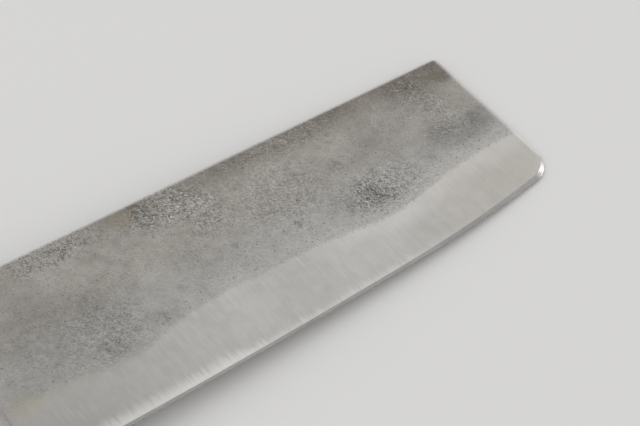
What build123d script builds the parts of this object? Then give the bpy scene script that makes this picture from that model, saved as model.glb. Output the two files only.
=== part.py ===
from build123d import *
import os
from math import radians, tan

# Nakiri, a vegetable knife: a blade forged from three layers, with a narrow tang that is set into
# an eight-sided wooden handle with a horn collar.
# The maker's frame has X from the heel to the tip, Y from the edge to the spine and Z out of the
# right face, with the heel at X 0, the spine at Y 0 and the middle of the blade at Z 0.
# At the end the knife is laid on its left side, as it rests on a table.
# Sizes are in millimetres and angles in degrees.

# Outline of the blade. The height is that of its deepest point. The edge rises from there a
# little to the heel and to the end of its long flat, and then sweeps up in a shallow belly to the
# tip, whose end leans back below its bend.
blade_length = 165.0
blade_height = 52.6
deepest_from_heel = 46.0
heel_rise = 0.6
flat_end_from_heel = 110.0
flat_end_rise = 0.6
tip_rise = 4.7
tip_lean = 0.7
tip_bend_depth = 19.0
edge_corner_radius = 7.5
spine_corner_radius = 1.8

# Neck and tang
neck_length = 12.0
neck_shoulder_from_heel = 4.0
neck_step_length = 5.0
neck_step_radius = 4.0
heel_curve_radius = 8.0
tang_in_handle = 88.0
tang_height_front = 10.5
tang_height_end = 6.0
tang_thickness_end = 2.0
tang_axis_depth = 9.0

# Thickness of the blade and of its layers
spine_thickness_heel = 2.9
spine_thickness_tip = 2.3
face_thickness_heel = 1.9
face_thickness_depth = 36.0
core_thickness = 0.9
rim_easing = 0.25

# Ground bevels. Their upper line wanders, because the forged face is uneven: each pair is a share
# of the blade's length and a share of its greatest height, from just behind the heel to just past
# the tip. The bulge is a share of the drop from that line to the edge.
bevel_line_shares = (
    (-0.03, 0.681),
    (0.025, 0.685),
    (0.08, 0.696),
    (0.14, 0.716),
    (0.184, 0.740),
    (0.22, 0.728),
    (0.27, 0.692),
    (0.33, 0.667),
    (0.44, 0.666),
    (0.55, 0.676),
    (0.64, 0.702),
    (0.70, 0.716),
    (0.76, 0.695),
    (0.83, 0.656),
    (0.91, 0.635),
    (1.03, 0.626),
)
bevel_bulge_share = 0.08

# Edge bevels, which leave the tip's corner on a wider arc and so fade out on it
edge_angle = 12.0
edge_thickness_heel = 0.30
edge_thickness_tip = 0.68
edge_thickening_power = 4
edge_corner_share = 0.1
edge_fade_radius = 16.0
edge_fade_angle = 70.0

# Handle. Its eight sides are cut back at the corners by a share of its width.
handle_length = 128.0
handle_front_height = 22.0
handle_front_width = 18.0
handle_butt_height = 25.0
handle_butt_width = 20.5
handle_corner_share = 0.29
handle_easing = 0.7
ferrule_length = 30.0
ferrule_front_chamfer = 1.0
butt_chamfer = 2.0
tenon_diameter = 14.0
tenon_clearance = 0.1
slot_clearance = 0.4
slot_end_room = 4.0

# Every cut runs past what it cuts by this much.
overrun = 5.0


def at_depth(x, depth):
    """The point at x from the heel and at a depth under the spine."""
    return Vector(x, -depth)


def nearest(items, place):
    """The item whose centre is nearest to a place."""
    return min(items, key=lambda item: (item.center() - place).length)


def edge_arcs():
    """The three arcs of the cutting edge: behind its deepest point, the long flat and the belly."""
    heel = at_depth(0, blade_height - heel_rise)
    deepest = at_depth(deepest_from_heel, blade_height)
    flat_end = at_depth(flat_end_from_heel, blade_height - flat_end_rise)
    tip = at_depth(blade_length - tip_lean, blade_height - tip_rise)
    back = TangentArc(deepest, heel, tangent=(-1, 0))
    flat = TangentArc(deepest, flat_end, tangent=(1, 0))
    belly = TangentArc(flat_end, tip, tangent=flat % 1)
    return back, flat, belly


def edge_depth(x):
    """The depth of the cutting edge at x. Past the ends of its arcs it stays level."""
    back, flat, belly = edge_arcs()
    x = min(max(x, 0), (belly @ 1).X)
    arc = back if x < deepest_from_heel else flat if x < flat_end_from_heel else belly
    centre = arc.arc_center
    return (arc.radius**2 - (x - centre.X) ** 2) ** 0.5 - centre.Y


def half_tang_height(x):
    """Half of the tang's height at x, which tapers from the front of the handle to its end."""
    share = (-neck_length - x) / tang_in_handle
    return (tang_height_front + (tang_height_end - tang_height_front) * share) / 2


def outline():
    """The flat outline of blade, neck and tang, with its corners rounded."""
    back, flat, belly = edge_arcs()
    tang_end = -neck_length - tang_in_handle
    step_end = -neck_shoulder_from_heel - neck_step_length
    spine_tip = at_depth(blade_length, 0)
    tip_bend = at_depth(blade_length, tip_bend_depth)
    shoulder = at_depth(-neck_shoulder_from_heel, 0)
    step = at_depth(step_end, tang_axis_depth - half_tang_height(step_end))
    end_top = at_depth(tang_end, tang_axis_depth - half_tang_height(tang_end))
    end_low = at_depth(tang_end, tang_axis_depth + half_tang_height(tang_end))
    heel_top = at_depth(0, tang_axis_depth + half_tang_height(0))
    end = TangentArc(tip_bend, belly @ 1, tangent=(0, -1))
    rest = Polyline(tip_bend, spine_tip, shoulder, step, end_top, end_low, heel_top, back @ 1)
    face = make_face([rest, back, flat, belly, end]).face()
    corners = (
        (spine_tip, spine_corner_radius),
        (belly @ 1, edge_corner_radius),
        (heel_top, heel_curve_radius),
        (shoulder, neck_step_radius),
        (step, neck_step_radius),
    )
    for place, radius in corners:
        face = face.fillet_2d(radius, [nearest(face.vertices(), place)])
    return face


def face_plane():
    """The plane of the forged right face, which leans in towards the edge and the tip."""
    heel = Vector(0, 0, spine_thickness_heel / 2)
    tip = Vector(blade_length, 0, spine_thickness_tip / 2)
    low = Vector(0, -face_thickness_depth, face_thickness_heel / 2)
    return Plane(origin=heel, x_dir=tip - heel, z_dir=(tip - heel).cross(heel - low))


def face_height(x, depth):
    """How far the right face lies from the middle of the blade at x and a depth."""
    normal = face_plane().z_dir
    return spine_thickness_heel / 2 - (normal.X * x - normal.Y * depth) / normal.Z


def rim_planes():
    """The planes that ease the right face's rim, along the spine and along the tip's end."""
    face = face_plane()
    across = Vector(0, 0, 1).cross(face.x_dir)
    for place, along in ((Vector(0, 0), face.x_dir), (Vector(blade_length), -across)):
        outwards = along.cross(Vector(0, 0, -1)).normalized()
        rim = Vector(place.X, 0, face_height(place.X, 0))
        yield Plane(
            origin=rim - outwards * rim_easing,
            x_dir=along,
            z_dir=(outwards + Vector(0, 0, 1)),
        )


def tang_plane():
    """The plane of the tang's right side, which thins towards its end.

    It meets the face in a line square to the knife, in front of the handle.
    """
    start, stop = -neck_shoulder_from_heel - neck_step_length, -neck_length - tang_in_handle
    front = Vector(start, -tang_axis_depth, face_height(start, tang_axis_depth))
    end = Vector(stop, -tang_axis_depth, tang_thickness_end / 2)
    across = face_plane().z_dir.cross(Vector(1))
    return Plane(origin=front, x_dir=across, z_dir=(front - end).cross(across))


def edge_half_thickness(x):
    """Half of the blade's thickness where the edge bevel starts, which grows towards the tip."""
    share = max(x, 0) / blade_length
    growth = edge_thickness_tip - edge_thickness_heel
    return (edge_thickness_heel + growth * share**edge_thickening_power) / 2


def bevel_section(x, depth):
    """What the grinder takes off the right side at x, outside a bevel that bulges a little."""
    half = edge_half_thickness(x)
    top = Vector(depth, face_height(x, depth))
    low = Vector(edge_depth(x) - half / tan(radians(edge_angle)), half)
    bevel = SagittaArc(low, top, -bevel_bulge_share * (top.Y - low.Y))
    start = low - (bevel % 0) * overrun
    end = top + (bevel % 1) * overrun
    clear = spine_thickness_heel / 2 + overrun
    rest = Polyline(top, end, (end.X, clear), (start.X, clear), start, low)
    plane = Plane(origin=(x, 0, 0), x_dir=(0, -1, 0), z_dir=(-1, 0, 0))
    return plane * make_face([bevel, rest]).face()


def bevel_cut():
    """The cut that grinds the right bevel, with a section at each point of its upper line."""
    return loft(
        [bevel_section(x * blade_length, y * blade_height) for x, y in bevel_line_shares]
    )


def edge_cut():
    """The cut that leaves the right edge bevel, from behind the heel to round the tip's corner."""
    face = outline()
    tip = edge_arcs()[-1] @ 1
    arcs = [nearest(face.edges(), arc.center()) for arc in edge_arcs()]
    corner = nearest(face.edges().filter_by(GeomType.CIRCLE), tip)
    turned = corner if (corner @ 0).Y < (corner @ 1).Y else corner.reversed()
    corner = turned.trim(0, edge_corner_share)
    heel = edge_arcs()[0] @ 1
    behind = heel - Vector(2 * overrun)
    fade = JernArc(corner @ 1, corner % 1, edge_fade_radius, edge_fade_angle)
    leave = fade @ 1 + (fade % 1) * edge_corner_radius * 4
    above = Vector(0, 2 * overrun)
    rest = Polyline(fade @ 1, leave, (leave.X, above.Y), (behind.X, above.Y), behind, heel)
    kept = make_face([*arcs, corner, fade, rest]).face()
    wedge = extrude(kept, amount=edge_thickness_tip, taper=90 - edge_angle)
    low = at_depth(-overrun, blade_height + overrun)
    high = at_depth(blade_length + overrun, tip_bend_depth)
    slab = make_face(Polyline(low, (high.X, low.Y), high, (low.X, high.Y), low)).face()
    return extrude(slab, amount=edge_thickness_tip) - wedge


def half_blade():
    """The right half of blade, neck and tang, before the layers are told apart."""
    half = extrude(outline(), amount=spine_thickness_heel)
    for plane in (face_plane(), *rim_planes(), tang_plane()):
        half = split(half, bisect_by=plane, keep=Keep.BOTTOM)
    return half - bevel_cut() - edge_cut()


def layers():
    """The three forge-welded layers of the blade: the hard core and the cladding on each side."""
    half = half_blade()
    weld = Plane.XY.offset(core_thickness / 2)
    cladding = split(half, bisect_by=weld, keep=Keep.TOP)
    half_core = split(half, bisect_by=weld, keep=Keep.BOTTOM)
    core = half_core + mirror(half_core, about=Plane.XY)
    return {
        "hard_core": core,
        "right_cladding": cladding,
        "left_cladding": mirror(cladding, about=Plane.XY),
    }


def handle_size(x):
    """Half of the handle's height and width at x, which grow towards the butt, and its corner cut."""
    share = (-neck_length - x) / handle_length
    height = handle_front_height + (handle_butt_height - handle_front_height) * share
    width = handle_front_width + (handle_butt_width - handle_front_width) * share
    return height / 2, width / 2, handle_corner_share * width


def handle_section(x, inset=0):
    """The eight-sided section of the handle at x, with its corners eased."""
    tall, wide, cut = handle_size(x)
    quarter = ((tall, wide - cut), (tall - cut, wide))
    upper = [*quarter, *((-y, z) for y, z in reversed(quarter))]
    points = [*upper, *((y, -z) for y, z in reversed(upper))]
    face = make_face(Polyline(*points, close=True))
    if inset:
        face = offset(face, amount=-inset, kind=Kind.INTERSECTION)
    plane = Plane(origin=(x, -tang_axis_depth, 0), x_dir=(0, 1, 0), z_dir=(1, 0, 0))
    return plane * fillet(face.vertices(), handle_easing)


def axis_rod(radius, front, back):
    """A rod along the handle's axis."""
    plane = Plane(origin=(back, -tang_axis_depth, 0), z_dir=(1, 0, 0))
    return extrude(plane * Circle(radius), amount=front - back)


def tang_slot():
    """The slot for the tang, which is a little larger than the tang on every side."""
    front, back = -neck_length, -neck_length - tang_in_handle - slot_end_room
    thickness = 2 * face_height(front, 0)
    sizes = (
        (back, tang_height_end, tang_thickness_end),
        (front, tang_height_front, thickness),
    )
    sections = []
    for x, height, width in sizes:
        plane = Plane(origin=(x, -tang_axis_depth, 0), x_dir=(0, 1, 0), z_dir=(1, 0, 0))
        sections.append(plane * Rectangle(height + 2 * slot_clearance, width + 2 * slot_clearance))
    return loft(sections, ruled=True)


def ferrule():
    """The horn collar: a stretch of the handle with a round bore and a chamfered front."""
    front, back = -neck_length, -neck_length - ferrule_length
    sections = [
        handle_section(back),
        handle_section(front - ferrule_front_chamfer),
        handle_section(front, ferrule_front_chamfer),
    ]
    bore = axis_rod(tenon_diameter / 2 + tenon_clearance, front + overrun, back - overrun)
    return loft(sections, ruled=True) - bore


def handle_grip():
    """The wooden grip with its tenon, which fills the collar's bore, and the slot for the tang."""
    front, back = -neck_length - ferrule_length, -neck_length - handle_length
    sections = [
        handle_section(back, butt_chamfer),
        handle_section(back + butt_chamfer),
        handle_section(front),
    ]
    tenon = axis_rod(tenon_diameter / 2, -neck_length, front)
    return loft(sections, ruled=True) + tenon - tang_slot()


def knife():
    """Every piece of the knife in the maker's frame, by name."""
    pieces = layers()
    setting = tang_slot()
    for layer in pieces.values():
        setting = setting - layer
    pieces["tang_adhesive"] = setting
    pieces["ferrule"] = ferrule()
    pieces["handle_grip"] = handle_grip()
    return pieces


def table_plane():
    """The table under the knife, in the maker's frame.

    The left side of the tip's end lies on it along its straight stretch, and so does the collar,
    with the lower front corner of its bottom flat.
    """
    end = blade_length - rim_easing
    high, low = (
        Vector(end, -depth, -face_height(end, depth))
        for depth in (spine_corner_radius, tip_bend_depth)
    )
    front = -neck_length - ferrule_front_chamfer
    tall, wide, cut = handle_size(front)
    collar = Vector(front, cut - tall - tang_axis_depth, -wide)
    up = (low - collar).cross(high - collar).normalized()
    along = Vector(1) - up * up.X
    return Plane(origin=high, x_dir=along, z_dir=up)


def laid_down(pieces):
    """The pieces on the table, with the middle of the knife's box above the origin."""
    table = table_plane()
    laid = {name: table.to_local_coords(piece) for name, piece in pieces.items()}
    solids = [solid for piece in laid.values() for solid in piece.solids()]
    box = Compound(solids).bounding_box()
    shift = Pos(-box.center().X, -box.center().Y, -box.min.Z)
    return {name: shift * piece for name, piece in laid.items()}


os.makedirs("parts", exist_ok=True)
for name, piece in laid_down(knife()).items():
    export_step(piece, f"parts/{name}.step")
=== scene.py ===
"""Looks of a nakiri, a vegetable knife: a forged blade of three layers in an eight-sided handle.

Shapes are worked out in the maker's frame, in millimetres: X from the heel to the tip, Y from the
edge to the spine, Z out of the right face, with the heel at X 0, the spine at Y 0 and the middle of
the blade at Z 0. A depth is measured from the spine towards the edge. Placement lays them on the
table, in metres, where the CAD model lies.
"""

import logging
import math
from collections.abc import Callable
from dataclasses import dataclass, field
from enum import Enum
from functools import reduce
from operator import add
from typing import ClassVar

import bpy
import numpy as np
from mathutils import Matrix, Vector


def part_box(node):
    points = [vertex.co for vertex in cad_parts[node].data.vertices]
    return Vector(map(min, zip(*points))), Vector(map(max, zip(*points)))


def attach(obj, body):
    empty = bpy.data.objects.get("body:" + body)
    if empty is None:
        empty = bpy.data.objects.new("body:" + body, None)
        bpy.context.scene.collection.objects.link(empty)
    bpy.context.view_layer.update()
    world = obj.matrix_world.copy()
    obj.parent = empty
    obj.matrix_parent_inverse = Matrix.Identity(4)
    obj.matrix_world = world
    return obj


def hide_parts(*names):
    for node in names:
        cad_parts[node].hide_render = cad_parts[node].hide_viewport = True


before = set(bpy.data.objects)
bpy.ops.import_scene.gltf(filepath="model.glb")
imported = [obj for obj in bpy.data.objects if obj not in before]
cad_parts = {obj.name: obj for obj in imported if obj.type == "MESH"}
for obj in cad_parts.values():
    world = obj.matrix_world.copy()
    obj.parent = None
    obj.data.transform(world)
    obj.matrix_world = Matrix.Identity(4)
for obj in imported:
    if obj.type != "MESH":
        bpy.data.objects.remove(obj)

MM = 0.001
NO_WALL = 1e-5
CREASE_DEGREES = 24
Array = np.ndarray
log = logging.getLogger("nakiri")


class Side(Enum):
    """The two sides of the blade, with the sign of their Z."""

    RIGHT = 1
    LEFT = -1


class Slot(Enum):
    """The names of the record's material slots."""

    CORE = "core_steel"
    CLADDING = "cladding_steel"
    HORN = "horn"
    WOOD = "magnolia_wood"


def unit(vector: Array) -> Array:
    """A vector of length 1 in the same direction."""
    return vector / np.linalg.norm(vector)


def bearing(angle: Array) -> Array:
    """Vectors of length 1 at angles."""
    return np.stack([np.cos(angle), np.sin(angle)], -1)


def half_turn(angle: Array | float) -> Array | float:
    """Angles brought to within half a turn of 0."""
    return (angle + math.pi) % (2 * math.pi) - math.pi


@dataclass(frozen=True)
class Line:
    """A straight line in the flat of the blade."""

    start: Array
    end: Array

    @property
    def length(self) -> float:
        """Its length."""
        return float(np.linalg.norm(self.end - self.start))

    def at(self, share: Array) -> Array:
        """The points at shares of its length."""
        return self.start + np.asarray(share)[..., None] * (self.end - self.start)

    def distance(self, points: Array) -> Array:
        """How far points lie from it: from their foot on it, held between its ends.

        Args:
            points: The points.

        Returns:
            Their distances.
        """
        along = self.end - self.start
        share = np.clip((points - self.start) @ along / (along @ along), 0, 1)
        return np.linalg.norm(points - self.at(share), axis=-1)


@dataclass(frozen=True)
class Arc:
    """A circular arc in the flat of the blade, between two angles."""

    centre: Array
    radius: float
    first: float
    last: float

    @classmethod
    def between(cls, centre: Array, start: Array, end: Array) -> "Arc":
        """The shorter arc round a centre from one point to another.

        Args:
            centre: Its centre.
            start: Where it starts.
            end: Where it ends.

        Returns:
            The arc.
        """
        (sx, sy), (ex, ey) = start - centre, end - centre
        first = math.atan2(sy, sx)
        turn = half_turn(math.atan2(ey, ex) - first)
        return cls(centre, math.hypot(sx, sy), first, first + turn)

    @classmethod
    def leaving(cls, start: Array, along: Array, end: Array) -> "Arc":
        """The arc that leaves a point along a direction and ends at another point.

        With the chord c and the unit normal n at its start, its radius is c.c / 2 n.c.

        Args:
            start: Where it starts.
            along: Its direction there.
            end: Where it ends.

        Returns:
            The arc.
        """
        tangent = unit(along)
        normal = np.array([-tangent[1], tangent[0]])
        chord = end - start
        return cls.between(start + normal * (chord @ chord) / (2 * normal @ chord), start, end)

    @property
    def length(self) -> float:
        """Its length."""
        return self.radius * abs(self.last - self.first)

    def at(self, share: Array) -> Array:
        """The points at shares of its length."""
        angle = self.first + (self.last - self.first) * np.asarray(share)
        return self.centre + self.radius * bearing(angle)

    def tangent(self) -> Array:
        """Its direction at its end."""
        turn = math.copysign(1, self.last - self.first)
        return turn * np.array([-math.sin(self.last), math.cos(self.last)])

    def distance(self, points: Array) -> Array:
        """How far points lie from it: from the point at their angle, held between its ends.

        Args:
            points: The points.

        Returns:
            Their distances.
        """
        offset = points - self.centre
        middle, half = (self.first + self.last) / 2, abs(self.last - self.first) / 2
        turned = half_turn(np.arctan2(offset[..., 1], offset[..., 0]) - middle)
        foot = self.centre + self.radius * bearing(middle + np.clip(turned, -half, half))
        return np.linalg.norm(points - foot, axis=-1)


@dataclass(frozen=True)
class Chain:
    """Lines and arcs laid end to end, and followed by length."""

    pieces: tuple[Line | Arc, ...]

    def at(self, share: Array) -> Array:
        """The points at shares of its whole length.

        Args:
            share: The shares.

        Returns:
            The points.
        """
        lengths = np.array([piece.length for piece in self.pieces])
        ends = np.concatenate([[0], np.cumsum(lengths)])
        run = np.asarray(share, float) * ends[-1]
        which = np.clip(np.searchsorted(ends, run, side="right") - 1, 0, len(lengths) - 1)
        points = np.zeros(run.shape + (2,))
        for index, piece in enumerate(self.pieces):
            here = which == index
            points[here] = piece.at((run[here] - ends[index]) / lengths[index])
        return points

    def distance(self, points: Array) -> Array:
        """How far points lie from the nearest of its pieces."""
        return np.min([piece.distance(points) for piece in self.pieces], axis=0)


def rounded(corners: Array, radii: tuple[float, ...]) -> Chain:
    """A bent line whose inner corners are rounded.

    Each arc starts and ends at radius / tan(half the corner's angle) from the corner.

    Args:
        corners: The line's points.
        radii: The radius at each inner corner.

    Returns:
        The lines and arcs in order.
    """
    pieces, start = [], corners[0]
    for before, corner, after, radius in zip(corners, corners[1:], corners[2:], radii):
        back, on = unit(before - corner), unit(after - corner)
        half = math.acos(back @ on) / 2
        reach = radius / math.tan(half)
        centre = corner + unit(back + on) * radius / math.sin(half)
        leave, join = corner + back * reach, corner + on * reach
        pieces += [Line(start, leave), Arc.between(centre, leave, join)]
        start = join
    return Chain((*pieces, Line(start, corners[-1])))


def corner_arc(one: Arc, other: Arc, radius: float) -> Arc:
    """The arc that rounds the corner where two arcs meet, inside both of their circles.

    Its centre is where circles of their two radii, each less its own radius, cross. Of the two
    crossings it is the one nearer to the corner.

    Args:
        one: The arc before the corner.
        other: The arc after it.
        radius: The corner's radius.

    Returns:
        The arc, which touches both.
    """
    gap = other.centre - one.centre
    span = np.linalg.norm(gap)
    first, second = one.radius - radius, other.radius - radius
    along = (first**2 - second**2 + span**2) / (2 * span)
    across = math.sqrt(first**2 - along**2) * np.array([-gap[1], gap[0]]) / span
    middle = one.centre + gap * along / span
    corner = one.at(1)
    centre = min(middle + across, middle - across, key=lambda c: np.linalg.norm(c - corner))
    touch = [arc.centre + unit(centre - arc.centre) * arc.radius for arc in (one, other)]
    return Arc.between(centre, *touch)


@dataclass(frozen=True)
class SmoothLine:
    """A natural cubic spline through known points."""

    known: Array
    values: Array
    bends: Array

    @classmethod
    def through(cls, known: Array, values: Array) -> "SmoothLine":
        """The spline whose second derivatives join smoothly and are 0 at both ends.

        Args:
            known: The places, in order.
            values: The values there.

        Returns:
            The spline.
        """
        step, count = np.diff(known), len(known)
        inner = np.arange(1, count - 1)
        matrix, right = np.eye(count), np.zeros(count)
        matrix[inner, inner - 1] = step[:-1]
        matrix[inner, inner] = 2 * (step[:-1] + step[1:])
        matrix[inner, inner + 1] = step[1:]
        right[inner] = 6 * np.diff(np.diff(values) / step)
        return cls(known, values, np.linalg.solve(matrix, right))

    def at(self, x: Array) -> Array:
        """Its values at x, which is held between its ends.

        Args:
            x: The places.

        Returns:
            The values.
        """
        x = np.clip(x, self.known[0], self.known[-1])
        low = np.clip(np.searchsorted(self.known, x) - 1, 0, len(self.known) - 2)
        gap = self.known[low + 1] - self.known[low]
        b = (x - self.known[low]) / gap
        a = 1 - b
        bend = (a**3 - a) * self.bends[low] + (b**3 - b) * self.bends[low + 1]
        return a * self.values[low] + b * self.values[low + 1] + bend * gap**2 / 6


@dataclass(frozen=True)
class Waves:
    """A soft uneven surface: waves of random direction and phase, added up."""

    shortest: float
    longest: float
    count: int
    seed: int

    def at(self, points: Array) -> Array:
        """Heights of about -1 to 1 at points of the blade's flat.

        Args:
            points: The points.

        Returns:
            Their heights.
        """
        rng = np.random.default_rng(self.seed)
        total = np.zeros(points.shape[:-1])
        for _ in range(self.count):
            length = math.exp(rng.uniform(math.log(self.shortest), math.log(self.longest)))
            angle, phase = rng.uniform(0, 2 * math.pi, 2)
            along = points @ np.array([math.cos(angle), math.sin(angle)])
            total += np.sin(2 * math.pi * along / length + phase) * length / self.longest
        return total / math.sqrt(self.count)


@dataclass(frozen=True)
class BladeShape:
    """Sizes of the blade and its tang, in millimetres, and the surfaces that follow from them.

    The blade's upper corner at the tip is rounded by spine_round. The CAD model's by spine_corner,
    and the knife lies as the CAD model does.
    """

    length: float = 165.0
    height: float = 52.6
    deepest: float = 46.0
    heel_rise: float = 0.6
    flat_end: float = 110.0
    flat_rise: float = 0.6
    tip_rise: float = 4.7
    tip_lean: float = 0.7
    tip_bend: float = 19.0
    edge_corner: float = 7.5
    spine_corner: float = 1.8
    spine_round: float = 2.8
    neck: float = 12.0
    shoulder: float = 4.0
    step: float = 5.0
    step_radius: float = 4.0
    heel_curve: float = 8.0
    tang_in_handle: float = 88.0
    tang_front: float = 10.5
    tang_end: float = 6.0
    tang_thickness_end: float = 2.0
    axis_depth: float = 9.0
    spine_thickness_heel: float = 2.9
    spine_thickness_tip: float = 2.3
    face_thickness: float = 1.9
    face_depth: float = 36.0
    core_thickness: float = 0.9
    rim: float = 0.25
    bulge: float = 0.08
    edge_angle: float = 12.0
    edge_thickness_heel: float = 0.30
    edge_thickness_tip: float = 0.68
    edge_power: int = 4
    edge_corner_share: float = 0.1
    edge_fade_radius: float = 16.0
    edge_fade_angle: float = 70.0
    edge_leave: float = 30.0
    relief: float = 0.028
    relief_fades: tuple[float, float, float, float] = (3.0, 12.0, 4.0, 4.0)
    relief_below: float = 0.16
    waves: Waves = Waves(shortest=5, longest=24, count=60, seed=11)
    bevel_line: tuple[tuple[float, float], ...] = (
        (-0.03, 0.681), (0.025, 0.685), (0.08, 0.696), (0.14, 0.716), (0.184, 0.740),
        (0.22, 0.728), (0.27, 0.692), (0.33, 0.667), (0.44, 0.666), (0.55, 0.676),
        (0.64, 0.702), (0.70, 0.716), (0.76, 0.695), (0.83, 0.656), (0.91, 0.635),
        (1.03, 0.626),
    )

    @property
    def weld(self) -> float:
        """How far the welds lie from the middle of the blade."""
        return self.core_thickness / 2

    @property
    def slope(self) -> float:
        """The slope of the edge bevel."""
        return math.tan(math.radians(self.edge_angle))

    def point(self, x: float, depth: float) -> Array:
        """A point of the blade's flat."""
        return np.array([x, depth], float)

    def half_tang(self, x: float) -> float:
        """Half of the tang's height at x, which tapers towards its end."""
        share = (-self.neck - x) / self.tang_in_handle
        return (self.tang_front + (self.tang_end - self.tang_front) * share) / 2

    def edge_arcs(self) -> tuple[Arc, Arc, Arc, Arc, Arc]:
        """The arcs from the heel along the edge, round the tip's corner and up the tip's end.

        Returns:
            The heel's rise, the flat, the belly, the corner and the end.
        """
        lowest = self.point(self.deepest, self.height)
        heel = self.point(0, self.height - self.heel_rise)
        flat_end = self.point(self.flat_end, self.height - self.flat_rise)
        tip = self.point(self.length - self.tip_lean, self.height - self.tip_rise)
        bend = self.point(self.length, self.tip_bend)
        back = Arc.leaving(lowest, self.point(-1, 0), heel)
        flat = Arc.leaving(lowest, self.point(1, 0), flat_end)
        belly = Arc.leaving(flat_end, flat.tangent(), tip)
        end = Arc.leaving(bend, self.point(0, 1), tip)
        corner = corner_arc(belly, end, self.edge_corner)
        back = Arc.between(back.centre, heel, lowest)
        belly = Arc.between(belly.centre, flat_end, corner.at(0))
        end = Arc.between(end.centre, corner.at(1), bend)
        return back, flat, belly, corner, end

    def spine_side(self) -> Chain:
        """The spine, from above the heel to the tip's corner."""
        return Chain((Line(self.point(0, 0), self.point(self.length - self.spine_round, 0)),))

    def end_side(self) -> Chain:
        """The tip's end, from the spine round its corner and down to the edge's corner.

        Returns:
            Its lines and arcs, in order.
        """
        end = self.edge_arcs()[-1]
        centre = self.point(self.length - self.spine_round, self.spine_round)
        start = self.point(self.length - self.spine_round, 0)
        turn = self.point(self.length, self.spine_round)
        down = Arc.between(end.centre, end.at(1), end.at(0))
        return Chain((Arc.between(centre, start, turn), Line(turn, end.at(1)), down))

    def heel_side(self) -> Chain:
        """The heel, from the spine to the edge."""
        return Chain((Line(self.point(0, 0), self.edge_arcs()[0].at(0)),))

    def edge_side(self) -> Chain:
        """The cutting edge, from the heel to the end of the tip's corner."""
        return Chain(self.edge_arcs()[:4])

    def honed_side(self) -> Chain:
        """The line that the edge bevel keeps to.

        A little way round the tip's corner it leaves the edge on a wider arc, so that the bevel
        fades there.

        Returns:
            Its lines and arcs, from behind the heel on.
        """
        back, flat, belly, corner, _ = self.edge_arcs()
        sweep = corner.last - corner.first
        turn = corner.first + sweep * self.edge_corner_share
        corner = Arc(corner.centre, corner.radius, corner.first, turn)
        on = math.copysign(math.radians(self.edge_fade_angle), sweep)
        inside = corner.at(1) - unit(corner.at(1) - corner.centre) * self.edge_fade_radius
        fade = Arc(inside, self.edge_fade_radius, turn, turn + on)
        leave = Line(fade.at(1), fade.at(1) + fade.tangent() * self.edge_leave)
        heel = back.at(0)
        behind = Line(heel - self.point(self.neck, 0), heel)
        return Chain((behind, back, flat, belly, corner, fade, leave))

    def neck_top(self) -> Chain:
        """The upper side of tang and neck, from the tang's end to above the heel.

        Returns:
            Its lines and arcs, in order.
        """
        step = -self.shoulder - self.step
        end = -self.neck - self.tang_in_handle
        corners = [
            self.point(end, self.axis_depth - self.half_tang(end)),
            self.point(step, self.axis_depth - self.half_tang(step)),
            self.point(-self.shoulder, 0),
            self.point(0, 0),
        ]
        return rounded(corners, (self.step_radius, self.step_radius))

    def neck_low(self) -> Chain:
        """The lower side of tang and neck, from the tang's end to the end of the heel's curve.

        Returns:
            Its lines and arcs, in order.
        """
        end = -self.neck - self.tang_in_handle
        corners = [
            self.point(end, self.axis_depth + self.half_tang(end)),
            self.point(0, self.axis_depth + self.half_tang(0)),
            self.edge_arcs()[0].at(0),
        ]
        return Chain(rounded(corners, (self.heel_curve,)).pieces[:2])

    def line_depth(self, x: Array) -> Array:
        """The depth of the ground bevel's wandering upper line."""
        shares = np.array(self.bevel_line)
        return SmoothLine.through(shares[:, 0] * self.length, shares[:, 1] * self.height).at(x)

    def edge_depth(self, x: Array) -> Array:
        """The depth of the edge at x, on the three arcs' circles.

        Args:
            x: The places along the blade.

        Returns:
            The depths.
        """
        back, flat, belly = self.edge_arcs()[:3]
        x = np.clip(x, 0, self.length - self.tip_lean)
        depths = [
            arc.centre[1] + np.sqrt(arc.radius**2 - (x - arc.centre[0]) ** 2)
            for arc in (back, flat, belly)
        ]
        return np.where(x < self.deepest, depths[0], np.where(x < self.flat_end, *depths[1:]))

    def face(self, x: Array, depth: Array) -> Array:
        """Height of the forged face: a plane that leans in towards the edge and the tip.

        Args:
            x: The places along the blade.
            depth: Their depths.

        Returns:
            The heights.
        """
        to_tip = (self.spine_thickness_heel - self.spine_thickness_tip) / 2 / self.length
        to_edge = (self.spine_thickness_heel - self.face_thickness) / 2 / self.face_depth
        return self.spine_thickness_heel / 2 - to_tip * x - to_edge * depth

    def tang(self, x: Array, depth: Array) -> Array:
        """Height of the tang's side: a plane that leans as the face does and thins to its end.

        Args:
            x: The places along the blade.
            depth: Their depths.

        Returns:
            The heights.
        """
        front, end = -self.shoulder - self.step, -self.neck - self.tang_in_handle
        start = self.face(front, self.axis_depth)
        lean = self.face(front, depth) - start
        return start + (self.tang_thickness_end / 2 - start) * (front - x) / (front - end) + lean

    def bevel(self, x: Array, depth: Array) -> Array:
        """Height of the ground bevel.

        From the edge bevel up to the wandering line it rises in proportion, plus a bulge of
        4 b t (1 - t) for the share t of the way up, and it runs on straight past both ends.

        Args:
            x: The places along the blade.
            depth: Their depths.

        Returns:
            The heights.
        """
        half = self.edge_half(x)
        low, top = self.edge_depth(x) - half / self.slope, self.line_depth(x)
        drop = self.face(x, top) - half
        t = (low - depth) / (low - top)
        held = np.clip(t, 0, 1)
        curved = held + 4 * self.bulge * held * (1 - held)
        past = (t - held) * (1 + 4 * self.bulge * np.where(t > 1, -1, 1))
        return half + drop * (curved + past)

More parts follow.
